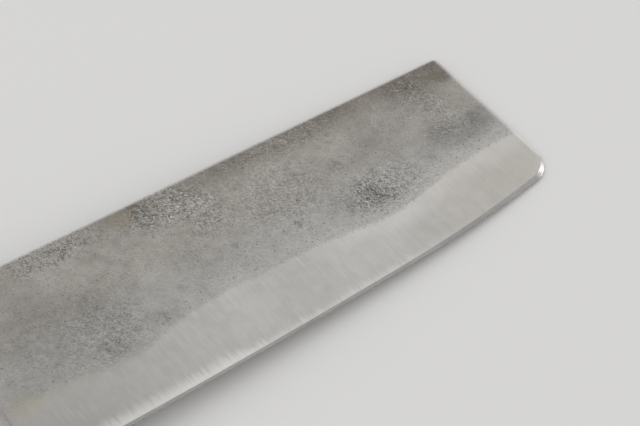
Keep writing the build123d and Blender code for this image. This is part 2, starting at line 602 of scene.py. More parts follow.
    def edge_half(self, x: Array) -> Array:
        """Half of the thickness where the edge bevel starts.

        Args:
            x: The places along the blade.

        Returns:
            Half of the thickness at each.
        """
        share = np.clip(x / self.length, 0, None)
        growth = self.edge_thickness_tip - self.edge_thickness_heel
        return (self.edge_thickness_heel + growth * share**self.edge_power) / 2

    def honed(self, points: Array) -> Array:
        """Height of the edge bevel: the distance from the edge times its slope."""
        return self.honed_side().distance(points) * self.slope

    def ground(self, points: Array) -> Array:
        """Height of the blade's right side before its rim is eased.

        Args:
            points: Points of the blade's flat.

        Returns:
            The heights.
        """
        x, depth = points[..., 0], points[..., 1]
        high = np.minimum(self.face(x, depth), self.tang(x, depth))
        return np.minimum(np.minimum(high, self.bevel(x, depth)), self.honed(points))

    def eased(self, points: Array) -> Array:
        """Height of the right side with its rim eased at 45 degrees, along spine and tip's end.

        Args:
            points: Points of the blade's flat.

        Returns:
            The heights.
        """
        x, depth = points[..., 0], points[..., 1]
        spine = self.face(x, 0) - self.rim + depth
        end = self.face(self.length, depth) - self.rim + self.length - x
        return np.minimum(self.ground(points), np.minimum(spine, end))

    def uneven(self, points: Array) -> Array:
        """How far the hammered face lies above or below its plane, and the bevel a little too.

        It fades with the square of the least share on the way in from the rims and from the edge,
        and on the way up from the handle.

        Args:
            points: Points of the blade's flat.

        Returns:
            What is added to the heights.
        """
        x, depth = points[..., 0], points[..., 1]
        rim, edge, handle, line = self.relief_fades
        from_rim = np.minimum(depth, self.length - x) / rim
        inside = np.minimum(from_rim, (self.edge_depth(x) - depth) / edge)
        fade = np.clip(inside, 0, 1) * np.clip((x + self.neck) / handle, 0, 1)
        above = np.clip((self.line_depth(x) - depth) / line, 0, 1)
        share = self.relief_below + (1 - self.relief_below) * above
        return self.relief * fade**2 * share * self.waves.at(points)


def first_rise(values: Array, at: Array) -> Array:
    """Where each row of values first rises through 0, read off between two samples.

    Args:
        values: One row for each column of the grid.
        at: The place of each sample.

    Returns:
        One place for each row, the last one where the values never rise through 0.
    """
    above = values > 0
    index = np.maximum(above.argmax(axis=1), 1)
    row = np.arange(len(values))
    low, high = values[row, index - 1], values[row, index]
    place = at[index - 1] + (at[index] - at[index - 1]) * low / (low - high)
    return np.where(above.any(axis=1), place, at[-1])


@dataclass(frozen=True)
class Rows:
    """How many rows of faces lie between the lines that cross the blade."""

    rim: int
    neck: int
    face: int
    bevel: int
    core: int
    honed: int

    @property
    def counts(self) -> tuple[int, ...]:
        """The counts from the spine to the edge."""
        return self.rim, self.neck, self.face, self.bevel, self.core, self.honed

    @property
    def to_neck(self) -> int:
        """The row that the heel's curve runs into."""
        return self.rim + self.neck

    @property
    def to_weld(self) -> int:
        """The row where the cladding ends."""
        return self.to_neck + self.face + self.bevel

    @property
    def to_honed(self) -> int:
        """The row where the edge bevel starts."""
        return self.to_weld + self.core

    def spread(self, marks: Array) -> Array:
        """The place of every row, evenly between the marks of each column.

        Args:
            marks: One row for each column of the grid, with one more mark than there are counts.

        Returns:
            The places of all rows, for each column.
        """
        share = np.concatenate([np.arange(n) / n + i for i, n in enumerate(self.counts)])
        share = np.append(share, len(self.counts))
        low = np.minimum(share.astype(int), len(self.counts) - 1)
        return marks[:, low] + (share - low) * (marks[:, low + 1] - marks[:, low])


@dataclass(frozen=True)
class BladeGrid:
    """Points over the flat of blade, neck and tang, in columns that run from spine to edge."""

    shape: BladeShape
    rows: Rows
    columns: int
    neck_columns: int
    samples: int = 900
    honed_gap: float = 0.25
    neck_crowding: float = 1.6

    def patch(self, u: Array, v: Array) -> Array:
        """The blade's flat as a patch between its four sides.

        It is the mean of spine and edge weighted by v, plus that of heel and end weighted by u,
        less the mean of the four corners weighted by both.

        Args:
            u: Shares of the way from heel to tip.
            v: Shares of the way from spine to edge.

        Returns:
            The points.
        """
        s = self.shape
        spine, edge = s.spine_side().at(u), s.edge_side().at(u)
        heel, end = s.heel_side().at(v), s.end_side().at(v)
        corners = [side.at(np.array([0.0, 1.0])) for side in (s.spine_side(), s.edge_side())]
        u, v = u[..., None], v[..., None]
        across = (1 - v) * spine + v * edge
        along = (1 - u) * heel + u * end
        mean = (1 - v) * ((1 - u) * corners[0][0] + u * corners[0][1])
        mean = mean + v * ((1 - u) * corners[1][0] + u * corners[1][1])
        return across + along - mean

    def blade(self) -> Array:
        """The blade's points, by column and row.

        Rows lie on the rim, on the ground bevel's upper line, on the weld and on the edge bevel.
        The weld stays a sample's step above the edge bevel, and that some of a step above the edge.

        Returns:
            The points.
        """
        s = self.shape
        u = np.linspace(0, 1, self.columns)
        u = np.sort(np.append(u, 1 - s.rim / s.length))
        fine = np.linspace(0, 1, self.samples)
        points = self.patch(*np.broadcast_arrays(u[:, None], fine[None, :]))
        x, depth = points[..., 0], points[..., 1]
        heel = s.edge_arcs()[0].at(0)[1]
        line = first_rise(depth - s.line_depth(x), fine)
        weld = first_rise(s.weld - s.ground(points), fine)
        honed = first_rise(s.bevel(x, depth) - s.honed(points), fine)
        least = np.full(len(u), 1 / self.samples)
        honed = np.minimum(honed, 1 - least * self.honed_gap)
        weld = np.minimum(weld, honed - least)
        neck = np.full(len(u), s.neck_low().at(1)[1] / heel)
        marks = [0 * u, np.full(len(u), s.rim / heel), neck, line, weld, honed, 1 + 0 * u]
        v = self.rows.spread(np.stack(marks, 1))
        return self.patch(*np.broadcast_arrays(u[:, None], v))

    def neck(self, side: Array) -> Array:
        """The points of neck and tang, ruled between their upper and lower sides.

        The columns crowd towards the blade: the share still to go is a power of an even one.

        Args:
            side: The blade's first column down to the end of the heel's curve.

        Returns:
            The points by column and row, without the column that the blade has.
        """
        s = self.shape
        top, low = s.neck_top(), s.neck_low()
        share = 1 - np.linspace(1, 0, self.neck_columns)[:-1] ** self.neck_crowding
        down = side[:, 1] / side[-1, 1]
        upper, lower = top.at(share), low.at(share)
        return upper[:, None] + down[None, :, None] * (lower - upper)[:, None]


def quads(index: Array) -> Array:
    """The faces of a grid of point numbers, turned to face up where its rows run down."""
    corners = (index[:-1, :-1], index[:-1, 1:], index[1:, 1:], index[1:, :-1])
    return np.stack([corner.ravel() for corner in corners], 1)


def rim_faces(loop: Array, under: Array) -> list[Array]:
    """The faces between a closed loop of points and the loop under it.

    Args:
        loop: The numbers of the upper points.
        under: The numbers of the lower points, which are the same where the two loops touch.

    Returns:
        Faces of four points, and faces of three where a stretch of them starts or ends.
    """
    faces = np.stack([loop, np.roll(loop, -1), np.roll(under, -1), under], 1)
    apart = loop != under
    after = np.roll(apart, -1)
    starts, ends = faces[~apart & after][:, :3], faces[apart & ~after][:, [0, 1, 3]]
    return [faces[apart & after], np.concatenate([ends, starts])]


@dataclass
class Surface:
    """Points in millimetres and faces of a closed surface, with values for its finish."""

    points: Array
    faces: list[Array]
    values: dict[str, Array] = field(default_factory=dict)
    finish: list[int] = field(default_factory=list)

    def volume(self) -> float:
        """The volume that it encloses, as a sum of tetrahedra on fans of its faces.

        Returns:
            The volume, which is negative where the faces look inwards.
        """
        total = 0.0
        for faces in self.faces:
            corners = self.points[faces]
            first, rest = corners[:, :1], corners[:, 1:]
            cross = np.cross(rest[:, :-1], rest[:, 1:])
            total += float(np.sum(first * cross)) / 6
        return total

    def mesh(self, name: str, placement: "Placement") -> bpy.types.Mesh:
        """The surface as a mesh on the table, with its faces outwards.

        Args:
            name: The mesh's name.
            placement: How the knife lies on the table.

        Returns:
            The mesh, with each value as a named attribute.
        """
        flip = -1 if self.volume() < 0 else 1
        corners = np.concatenate([faces[:, ::flip].ravel() for faces in self.faces])
        counts = np.concatenate([np.full(len(f), f.shape[1]) for f in self.faces])
        mesh = bpy.data.meshes.new(name)
        mesh.vertices.add(len(self.points))
        mesh.vertices.foreach_set("co", placement.lay(self.points).astype(np.float32).ravel())
        mesh.loops.add(len(corners))
        mesh.loops.foreach_set("vertex_index", corners.astype(np.int32))
        mesh.polygons.add(len(counts))
        starts = np.concatenate([[0], np.cumsum(counts)[:-1]])
        mesh.polygons.foreach_set("loop_start", starts.astype(np.int32))
        finish = self.finish or [0] * len(self.faces)
        slots = np.concatenate([np.full(len(f), n) for f, n in zip(self.faces, finish)])
        mesh.update(calc_edges=True)
        mesh.polygons.foreach_set("material_index", slots.astype(np.int32))
        mesh.polygons.foreach_set("use_smooth", np.ones(len(counts), bool))
        values = {"place": self.points * MM, **self.values}
        for title, array in values.items():
            kind = "FLOAT_VECTOR" if array.ndim == 2 else "FLOAT"
            attribute = mesh.attributes.new(title, kind, "POINT")
            attribute.data.foreach_set(
                "vector" if array.ndim == 2 else "value", array.astype(np.float32).ravel()
            )
        mesh.set_sharp_from_angle(angle=math.radians(CREASE_DEGREES))
        mesh.validate()
        return mesh


@dataclass(frozen=True)
class Placement:
    """How the knife, drawn in its maker's frame, lies on the table in the CAD model."""

    turn: Array
    origin: Array
    shift: Array

    @classmethod
    def resting(cls, blade: BladeShape, collar: Array) -> "Placement":
        """The knife on its left side, on the tip's end and on a corner of the collar.

        The table goes through those three points, and X stays along the knife. The place on the
        table is then that of the CAD model's core.

        Args:
            blade: The blade's sizes.
            collar: The collar's point that touches the table.

        Returns:
            The placement.
        """
        end = blade.length - blade.rim
        high, low = (
            np.array([end, -depth, -blade.face(end, depth)])
            for depth in (blade.spine_corner, blade.tip_bend)
        )
        up = unit(np.cross(low - collar, high - collar))
        along = unit(np.array([1.0, 0, 0]) - up * up[0])
        return cls(np.stack([along, np.cross(up, along), up]), high, np.zeros(3))

    def turned(self, points: Array) -> Array:
        """Points turned to the table, in metres."""
        return (points - self.origin) @ self.turn.T * MM

    def lay(self, points: Array) -> Array:
        """Points of the maker's frame in the CAD model's frame, in metres."""
        return self.turned(points) + self.shift

    def fitted(self, points: Array, node: str) -> "Placement":
        """The same placement, shifted so that points fill the box of a CAD node.

        Args:
            points: The piece's points in the maker's frame.
            node: The CAD node that the piece stands for.

        Returns:
            The shifted placement.
        """
        low, high = (np.array(corner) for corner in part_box(node))
        laid = self.turned(points)
        middle = (laid.min(axis=0) + laid.max(axis=0)) / 2
        return Placement(self.turn, self.origin, (low + high) / 2 - middle)


Colour = tuple[float, float, float, float]
Ramp = tuple[float, ...]
Spots = tuple[tuple[float, float, float, float, float], ...]
OVAL_RIM: Ramp = (0.25, 1, 1, 0)
SEED_STEPS = (1, 1.7, 2.3)
NOISE_MIDDLE = 0.5


@dataclass(frozen=True)
class Noise:
    """Soft noise of about 0.2 to 0.8. Its grain is in millimetres: long, high and deep."""

    grain: float | tuple[float, float, float]
    detail: float = 3
    roughness: float = 0.5
    distortion: float = 0
    seed: float = 0


@dataclass(frozen=True)
class Value:
    """What a node puts out, in a form that sums can be written with."""

    nodes: "Nodes"
    socket: bpy.types.NodeSocket

    def __add__(self, other: "Value | float") -> "Value":
        """The sum of both."""
        return self.nodes.calc("ADD", self, other)

    def __sub__(self, other: "Value | float") -> "Value":
        """This value less the other."""
        return self.nodes.calc("SUBTRACT", self, other)

    def __rsub__(self, other: float) -> "Value":
        """A number less this value."""
        return self.nodes.calc("SUBTRACT", other, self)

    def __mul__(self, other: "Value | float") -> "Value":
        """The product of both."""
        return self.nodes.calc("MULTIPLY", self, other)

    def __truediv__(self, other: "Value | float") -> "Value":
        """This value divided by the other."""
        return self.nodes.calc("DIVIDE", self, other)

    def ease(self, low: float, high: float, a: float = 0, b: float = 1) -> "Value":
        """A value that goes smoothly from a to b as this one goes from low to high."""
        given = dict(enumerate((self, low, high, a, b)))
        return self.nodes.made("MapRange", given, interpolation_type="SMOOTHSTEP")


Look = tuple[Value, Value, Value]


@dataclass(frozen=True)
class Nodes:
    """Short ways to add and join the nodes of a material or a node group."""

    tree: bpy.types.NodeTree

    def add(self, kind: str, **settings: object) -> bpy.types.Node:
        """A new node with its settings.

        Args:
            kind: The node's kind.
            settings: Its settings.

        Returns:
            The node.
        """
        node = self.tree.nodes.new(f"ShaderNode{kind}")
        for name, value in settings.items():
            setattr(node, name, value)
        return node

    def feed(self, socket: bpy.types.NodeSocket, given: object) -> None:
        """Joins a socket to a value, or sets it to a plain number, vector or colour.

        Args:
            socket: The input.
            given: A value, or a plain number, vector or colour.
        """
        if isinstance(given, Value):
            self.tree.links.new(given.socket, socket)
        else:
            socket.default_value = given

    def made(self, kind: str, given: dict, output: int | str = 0, **settings: object) -> Value:
        """One output of a new node.

        Args:
            kind: The node's kind.
            given: What its inputs are fed with, by their names or numbers.
            output: The output's name or number.
            settings: The node's settings.

        Returns:
            The output.
        """
        node = self.add(kind, **settings)
        for name, value in given.items():
            self.feed(node.inputs[name], value)
        return Value(self, node.outputs[output])

    def outputs(self, node: bpy.types.Node) -> dict[str, Value]:
        """All outputs of a node, by name."""
        return {socket.name: Value(self, socket) for socket in node.outputs}

    def calc(self, operation: str, *values: object, vector: bool = False) -> Value:
        """The outcome of an operation on numbers, or on vectors."""
        kind = "VectorMath" if vector else "Math"
        return self.made(kind, dict(enumerate(values)), operation=operation)

    def greatest(self, *values: Value) -> Value:
        """The greatest of several values."""
        return reduce(lambda one, other: self.calc("MAXIMUM", one, other), values)

    def mapped(self, place: Value, kind: str = "POINT", **settings: object) -> Value:
        """A place that is moved, turned and scaled."""
        return self.made("Mapping", {"Vector": place, **settings}, vector_type=kind)

    def grained(self, place: Value, noise: Noise) -> Value:
        """A place in units of a noise's grain, moved by its seed.

        Args:
            place: The place.
            noise: The noise.

        Returns:
            The place, counted in grains.
        """
        sizes = noise.grain if isinstance(noise.grain, tuple) else (noise.grain,) * 3
        scale = [1 / (size * MM) for size in sizes]
        return self.mapped(place, Scale=scale, Location=[noise.seed * step for step in SEED_STEPS])

    def turned(self, place: Value, angle: float) -> Value:
        """A place seen along axes that are turned in the blade's plane by an angle in degrees."""
        return self.mapped(place, "TEXTURE", Rotation=(0, 0, math.radians(angle)))

    def noise(self, place: Value, noise: Noise, output: int | str = 0) -> Value:
        """A noise at a place.

        Args:
            place: The place.
            noise: The noise.
            output: The output's name or number.

        Returns:
            The output.
        """
        given = {"Vector": self.grained(place, noise), "Scale": 1, "Detail": noise.detail}
        given |= {"Roughness": noise.roughness, "Distortion": noise.distortion}
        return self.made("TexNoise", given, output)

    def cells(self, place: Value, noise: Noise) -> tuple[Value, Value]:
        """Scattered dots: the distance from the nearest one, and a random value for each.

        Args:
            place: The place.
            noise: The noise that gives the dots' grain and seed.

        Returns:
            The distance, and the random value.
        """
        node = self.add("TexVoronoi")
        self.feed(node.inputs["Vector"], self.grained(place, noise))
        self.feed(node.inputs["Scale"], 1)
        found = self.outputs(node)
        return found["Distance"], self.made("SeparateColor", {0: found["Color"]})

    def wobbled(self, place: Value, noise: Noise, reach: float) -> Value:
        """A place pushed about by a noise, by up to half of a reach in millimetres.

        Args:
            place: The place.
            noise: The noise.
            reach: The reach.

        Returns:
            The place that is pushed about.
        """
        push = self.noise(place, noise, "Color")
        push = self.calc("SUBTRACT", push, (NOISE_MIDDLE,) * 3, vector=True)
        return self.calc("MULTIPLY_ADD", push, (reach * MM,) * 3, place, vector=True)

    def axes(self, place: Value) -> tuple[Value, ...]:
        """The three coordinates of a place.

        Args:
            place: The place.

        Returns:
            The coordinates.
        """
        node = self.add("SeparateXYZ")
        self.feed(node.inputs[0], place)
        return tuple(self.outputs(node).values())

    def region(self, place: Value, spots: Spots) -> Value:
        """A sum of soft ovals on the blade, held to 1.

        Args:
            place: The place on the blade.
            spots: Each oval's x, depth, half length and half height in millimetres, and its
                strength.

        Returns:
            The sum, which is 0 outside of all ovals.
        """
        parts = []
        for x, depth, wide, high, strength in spots:
            size, middle = (wide * MM, high * MM, 1), (x * MM, -depth * MM, 0)
            inside = self.mapped(place, "TEXTURE", Location=middle, Scale=size)
            away = self.made("VectorMath", {0: inside}, "Value", operation="LENGTH")
            parts.append(away.ease(*OVAL_RIM) * strength)
        return self.calc("MINIMUM", reduce(add, parts), 1)

    def mix(self, share: Value, one: object, other: object) -> Value:
        """A colour between two others."""
        return self.made("Mix", {0: share, 6: one, 7: other}, 2, data_type="RGBA")

    def between(self, share: Value, one: Value, other: Value) -> Value:
        """A value between two others."""
        return self.made("Mix", {0: share, 2: one, 3: other}, data_type="FLOAT")

    def coated(self, colour: Value, *coats: tuple[Value, Colour]) -> Value:
        """A colour under coats of others, each with the share that it covers.

        Args:
            colour: The colour underneath.
            coats: The share and the colour of each coat.

        Returns:
            The colour.
        """
        for share, coat in coats:
            colour = self.mix(share, colour, coat)
        return colour

    def attribute(self, name: str, output: str = "Fac") -> Value:
        """A piece's own attribute."""
        return self.made("Attribute", {}, output, attribute_name=name)

    def place(self) -> Value:
        """The place in the maker's frame, in metres."""
        return self.attribute("place", "Vector")

    def group(self, tree: bpy.types.NodeTree, **given: object) -> dict[str, Value]:
        """The outputs of a node group that is placed with its own values.

        Args:
            tree: The node group.
            given: What its inputs are fed with.

        Returns:
            Its outputs, by name.
        """
        node = self.add("Group", node_tree=tree)
        for name, value in given.items():
            self.feed(node.inputs[name], value)
        return self.outputs(node)


class SocketKind(Enum):
    """The kinds of socket that the node groups have, under the names of their types."""

    VALUE = "NodeSocketFloat"
    VECTOR = "NodeSocketVector"
    RGBA = "NodeSocketColor"


@dataclass(frozen=True)
class Pits:
    """One kind of pit: its cells, how rare it is, and how far it reaches in its cell."""

    cells: Noise
    rarity: float
    reach: float


@dataclass(frozen=True)
class Curls:
    """One kind of curled mark: its curl, its gaps and their share, and its line's half width."""

    curl: Noise
    gaps: Noise
    gap_share: float
    line: float


@dataclass(frozen=True)
class Effects:
    """The effects that several finishes share, each a node group that is built once."""

    fine: Noise = Noise((0.16, 5, 3), roughness=0.6)
    broad: Noise = Noise((0.9, 13, 5), roughness=0.6, seed=3)
    rare: Noise = Noise((0.35, 7, 4), detail=1, seed=7)
    fine_shade: Ramp = (0.25, 0.75, 0, 0.4)
    broad_shade: Ramp = (0.25, 0.75, 0, 0.6)
    rare_cut: Ramp = (0.64, 0.72)
    cut_depth: float = 0.5
    cut_shine: float = 1.2
    cut_share: float = 0.5
    cloud_share: float = 0.6
    dulled: float = 0.06
    satin_roughness: Ramp = (0, 1, 0.36, 0.28)
    large_cloud: Noise = Noise(17, seed=5)
    small_cloud: Noise = Noise(3.2, detail=4, roughness=0.6, seed=9)
    large_shade: Ramp = (0.3, 0.7, 0, 0.55)
    small_shade: Ramp = (0.3, 0.7, 0, 0.45)
    slant: float = -40.0
    grain: Noise = Noise((0.72, 0.4, 0.5), roughness=0.72)
    wobble: Noise = Noise(0.6, detail=2, seed=31)
    wobble_reach: float = 0.9
    pits: tuple[Pits, ...] = (
        Pits(Noise(0.55, seed=1), rarity=0.80, reach=0.42),
        Pits(Noise(0.95, seed=4), rarity=0.92, reach=0.36),
    )
    pit_rim: float = 0.1
    pit_birth: float = 0.15
    curls: tuple[Curls, ...] = (
        Curls(
            curl=Noise((1.8, 0.75, 1.8), distortion=1.3, seed=2),
            gaps=Noise(0.9, detail=2, seed=6),
            gap_share=0.44,
            line=0.055,
        ),
        Curls(
            curl=Noise((3.6, 2.4, 3.6), distortion=1.3, seed=8),
            gaps=Noise(2.4, detail=2, seed=12),
            gap_share=0.38,
            line=0.028,
        ),
    )
    gap_rim: float = 0.12
    line_core: float = 0.25
    lip_core: float = 0.2
    lip_rim: float = 0.9
    lip_away: float = 1.7
    lip_height: float = 0.4
    hollow_depth: float = 0.6
    groups: dict[str, bpy.types.NodeTree] = field(default_factory=dict)

    def __post_init__(self) -> None:
        """Builds the groups."""
        place = {"Place": SocketKind.VECTOR}
        marks = {"Pitting": SocketKind.VALUE, "Scale marks": SocketKind.VALUE}
        shades = {"Bright": SocketKind.RGBA, "Dull": SocketKind.RGBA}
        self.groups["scratches"] = self.group(self.fine_scratches, place)
        self.groups["mottle"] = self.group(self.soft_mottle, place)
        self.groups["skin"] = self.group(self.forged_skin, place | marks)
        self.groups["satin"] = self.group(self.satin_steel, place | shades)

    def group(self, effect: Callable, inputs: dict[str, SocketKind]) -> bpy.types.NodeTree:
        """A node group that is named after its effect.

        Args:
            effect: What works out the group's outputs from its nodes and its inputs, by name.
            inputs: The kind of each input.

        Returns:
            The group.
        """
        tree = bpy.data.node_groups.new(effect.__name__, "ShaderNodeTree")
        for title, kind in inputs.items():
            tree.interface.new_socket(title, in_out="INPUT", socket_type=kind.value)
        nodes = Nodes(tree)
        results = effect(nodes, nodes.outputs(tree.nodes.new("NodeGroupInput")))
        for title, value in results.items():
            kind = SocketKind[value.socket.type]
            tree.interface.new_socket(title, in_out="OUTPUT", socket_type=kind.value)
        end = tree.nodes.new("NodeGroupOutput")
        for title, value in results.items():
            nodes.feed(end.inputs[title], value)
        return tree

    def fine_scratches(self, nodes: Nodes, given: dict[str, Value]) -> dict[str, Value]:
        """Fine scratches on ground steel: noise stretched along its second axis, in three sizes.

        Args:
            nodes: The group's nodes.
            given: Its inputs, by name.

        Returns:
            Its outputs, by name.
        """
        fine, broad, rare = (
            nodes.noise(given["Place"], noise) for noise in (self.fine, self.broad, self.rare)
        )
        deep = rare.ease(*self.rare_cut)
        shade = fine.ease(*self.fine_shade) + broad.ease(*self.broad_shade)
        return {"Height": fine - deep * self.cut_depth, "Shade": shade + deep * self.cut_shine}

    def soft_mottle(self, nodes: Nodes, given: dict[str, Value]) -> dict[str, Value]:
        """Cloudy unevenness in two sizes, from 0 to 1."""
        large, small = (
            nodes.noise(given["Place"], noise) for noise in (self.large_cloud, self.small_cloud)
        )
        return {"Shade": large.ease(*self.large_shade) + small.ease(*self.small_shade)}

    def forged_skin(self, nodes: Nodes, given: dict[str, Value]) -> dict[str, Value]:
        """The pear-skin of forged steel: fine grain, scattered pits and curled marks of scale.

        Pits are dots of random size, bent by noise. Where Pitting is higher, more of them are
        there. The marks are the thin lines where a distorted noise passes its middle, broken up
        by another noise, and each has a raised lip beside it, whose mask is put out for the
        cladding to paint a highlight with.

        Args:
            nodes: The group's nodes.
            given: Its inputs, by name.

        Returns:
            Its outputs, by name.
        """
        place = given["Place"]
        slanted = nodes.turned(place, self.slant)
        grain = nodes.noise(slanted, self.grain)
        bent = nodes.wobbled(place, self.wobble, self.wobble_reach)
        hollows, lips = [], []
        for pit in self.pits:
            distance, chance = nodes.cells(bent, pit.cells)
            there = (chance - (pit.rarity - given["Pitting"])).ease(0, self.pit_birth)
            hollows.append(distance.ease(self.pit_rim, pit.reach, 1, 0) * there)
        for mark in self.curls:
            curl = nodes.noise(slanted, mark.curl) - NOISE_MIDDLE
            gaps = nodes.noise(place, mark.gaps).ease(mark.gap_share, mark.gap_share + self.gap_rim)
            broken = gaps * given["Scale marks"]
            line = nodes.calc("ABSOLUTE", curl)
            line = line.ease(mark.line * self.line_core, mark.line, 1, 0)
            beside = nodes.calc("ABSOLUTE", curl - mark.line * self.lip_away)
            lip = beside.ease(mark.line * self.lip_core, mark.line * self.lip_rim, 1, 0)
            hollows.append(line * broken)
            lips.append(lip * broken)
        hollow, lip = nodes.greatest(*hollows), nodes.greatest(*lips)
        raised = lip * self.lip_height - hollow
        height = nodes.calc("MULTIPLY_ADD", raised, self.hollow_depth, grain)
        return {"Height": height, "Hollows": hollow, "Lips": lip, "Grain": grain}

    def satin_steel(self, nodes: Nodes, given: dict[str, Value]) -> dict[str, Value]:
        """Steel ground across the edge, in two shades that clouds and scratches mix.

        Args:
            nodes: The group's nodes.
            given: Its inputs, by name.

        Returns:
            Its outputs, by name.
        """
        cuts = nodes.group(self.groups["scratches"], Place=given["Place"])
        cloud = nodes.group(self.groups["mottle"], Place=given["Place"])["Shade"]
        share = cuts["Shade"] * self.cut_share + cloud * self.cloud_share - self.dulled
        return {
            "Colour": nodes.mix(share, given["Dull"], given["Bright"]),
            "Roughness": share.ease(*self.satin_roughness),
            "Height": cuts["Height"],
        }


@dataclass(frozen=True)
class Finish:
    """A finish with its own material, built once. Bump is the depth of its bumps in millimetres."""

    name: str
    metallic: ClassVar[int] = 0
    bump: ClassVar[float] = 0.003

    def material(self, effects: Effects) -> bpy.types.Material:
        """The material of the finish, from its colour, its roughness and the height of its bumps.

        Args:
            effects: The shared effects.

        Returns:
            The material.
        """
        material = bpy.data.materials.new(self.name)
        material.use_nodes = True
        nodes = Nodes(material.node_tree)
        nodes.tree.nodes.clear()
        colour, roughness, height = self.look(nodes, effects)
        raised = {"Strength": 1, "Distance": self.bump * MM, "Height": height}
        given = {"Base Color": colour, "Roughness": roughness, "Metallic": self.metallic}
        given["Normal"] = nodes.made("Bump", raised)
        shader = nodes.made("BsdfPrincipled", given)
        nodes.feed(nodes.add("OutputMaterial").inputs["Surface"], shader)
        return material

    def look(self, nodes: Nodes, effects: Effects) -> Look:
        """The finish's colour and roughness, and a height from 0 to 1 for its bumps."""
        raise NotImplementedError


@dataclass(frozen=True)
class GroundSteel(Finish):
    """Satin steel whose scratches run along the blade, its roughness lowered by its polish."""

    bright: Colour
    dull: Colour
    polish: float = 0.0
    metallic: ClassVar[int] = 1

    def look(self, nodes: Nodes, effects: Effects) -> Look:
        """Clouds and scratches on a place that is turned a quarter, with y and z as one.

        Args:
            nodes: The material's nodes.
            effects: The shared effects.

        Returns:
            Its colour, roughness and height.
        """
        x, y, z = nodes.axes(nodes.place())
        turned = nodes.made("CombineXYZ", {0: y + z, 1: x, 2: z})
        shades = {"Bright": self.bright, "Dull": self.dull}
        satin = nodes.group(effects.groups["satin"], Place=turned, **shades)
        return satin["Colour"], satin["Roughness"] - self.polish, satin["Height"]


@dataclass(frozen=True)
class BladeSteel(Finish):
    """Steel with a satin bevel ground across the edge, dimmer at the heel, warmer at the tip."""

    bright: Colour = (0.462, 0.452, 0.430, 1)
    dull: Colour = (0.400, 0.388, 0.366, 1)
    smudge: Colour = (0.165, 0.158, 0.147, 1)
    warm: Colour = (0.36, 0.295, 0.245, 1)
    # Paler steel: a painted sheen under the bevel's line, and rubbed steel with a painted highlight
    # along the rims.
    rubbed: Colour = (0.68, 0.675, 0.67, 1)
    at_heel: Ramp = (0.02, 0.065, 0.16, 0)
    at_tip: Ramp = (0.115, 0.14, 0, 0.18)
    metallic: ClassVar[int] = 1

    def ground(self, nodes: Nodes, effects: Effects, place: Value) -> dict[str, Value]:
        """The ground steel's own colour, roughness and height."""
        return nodes.group(effects.groups["satin"], Place=place, Bright=self.bright, Dull=self.dull)

    def toned(self, nodes: Nodes, x: Value, colour: Value) -> Value:
        """A colour dimmed at the heel and warmed at the tip."""
        ends = (x.ease(*self.at_heel), self.smudge), (x.ease(*self.at_tip), self.warm)
        return nodes.coated(colour, *ends)


@dataclass(frozen=True)
class CoreSteel(BladeSteel):
    """The hard core beside the edge: as its cladding at the weld, with a painted highlight towards
    the edge.

    The painted highlight is broad behind the middle of the edge and narrow before it.
    """

    # Painted highlight: the colour that the steel near the edge is brightened towards.
    polished: Colour = (0.74, 0.735, 0.71, 1)
    reach: Ramp = (0.048, 0.066, 4.3, 2.8)
    strength: Ramp = (0.05, 0.07, 0.68, 0.4)
    to_tip: Ramp = (0.1, 0.125, 1, 0.3)
    streaks: Noise = Noise((0.9, 12, 5), detail=4, roughness=0.7, seed=8)
    streak_reach: Ramp = (0.3, 0.7, -1, 1)
    fall: Ramp = (0.1, 1.1, 1, 0)

    def look(self, nodes: Nodes, effects: Effects) -> Look:
        """The painted highlight falls with the distance from the edge, unevenly along it.

        Args:
            nodes: The material's nodes.
            effects: The shared effects.

        Returns:
            Its colour, roughness and height.
        """
        place = nodes.place()
        x = nodes.axes(place)[0]
        satin = self.ground(nodes, effects, place)
        streaks = nodes.noise(place, self.streaks).ease(*self.streak_reach)
        reach = x.ease(*self.reach) + streaks
        painted_glow = (nodes.attribute("from_edge") / reach).ease(*self.fall)
        share = painted_glow * (x.ease(*self.strength) * x.ease(*self.to_tip))
        # Paints the highlight near the edge into the colour.
        colour = nodes.mix(share, self.toned(nodes, x, satin["Colour"]), self.polished)
        return colour, satin["Roughness"], satin["Height"]


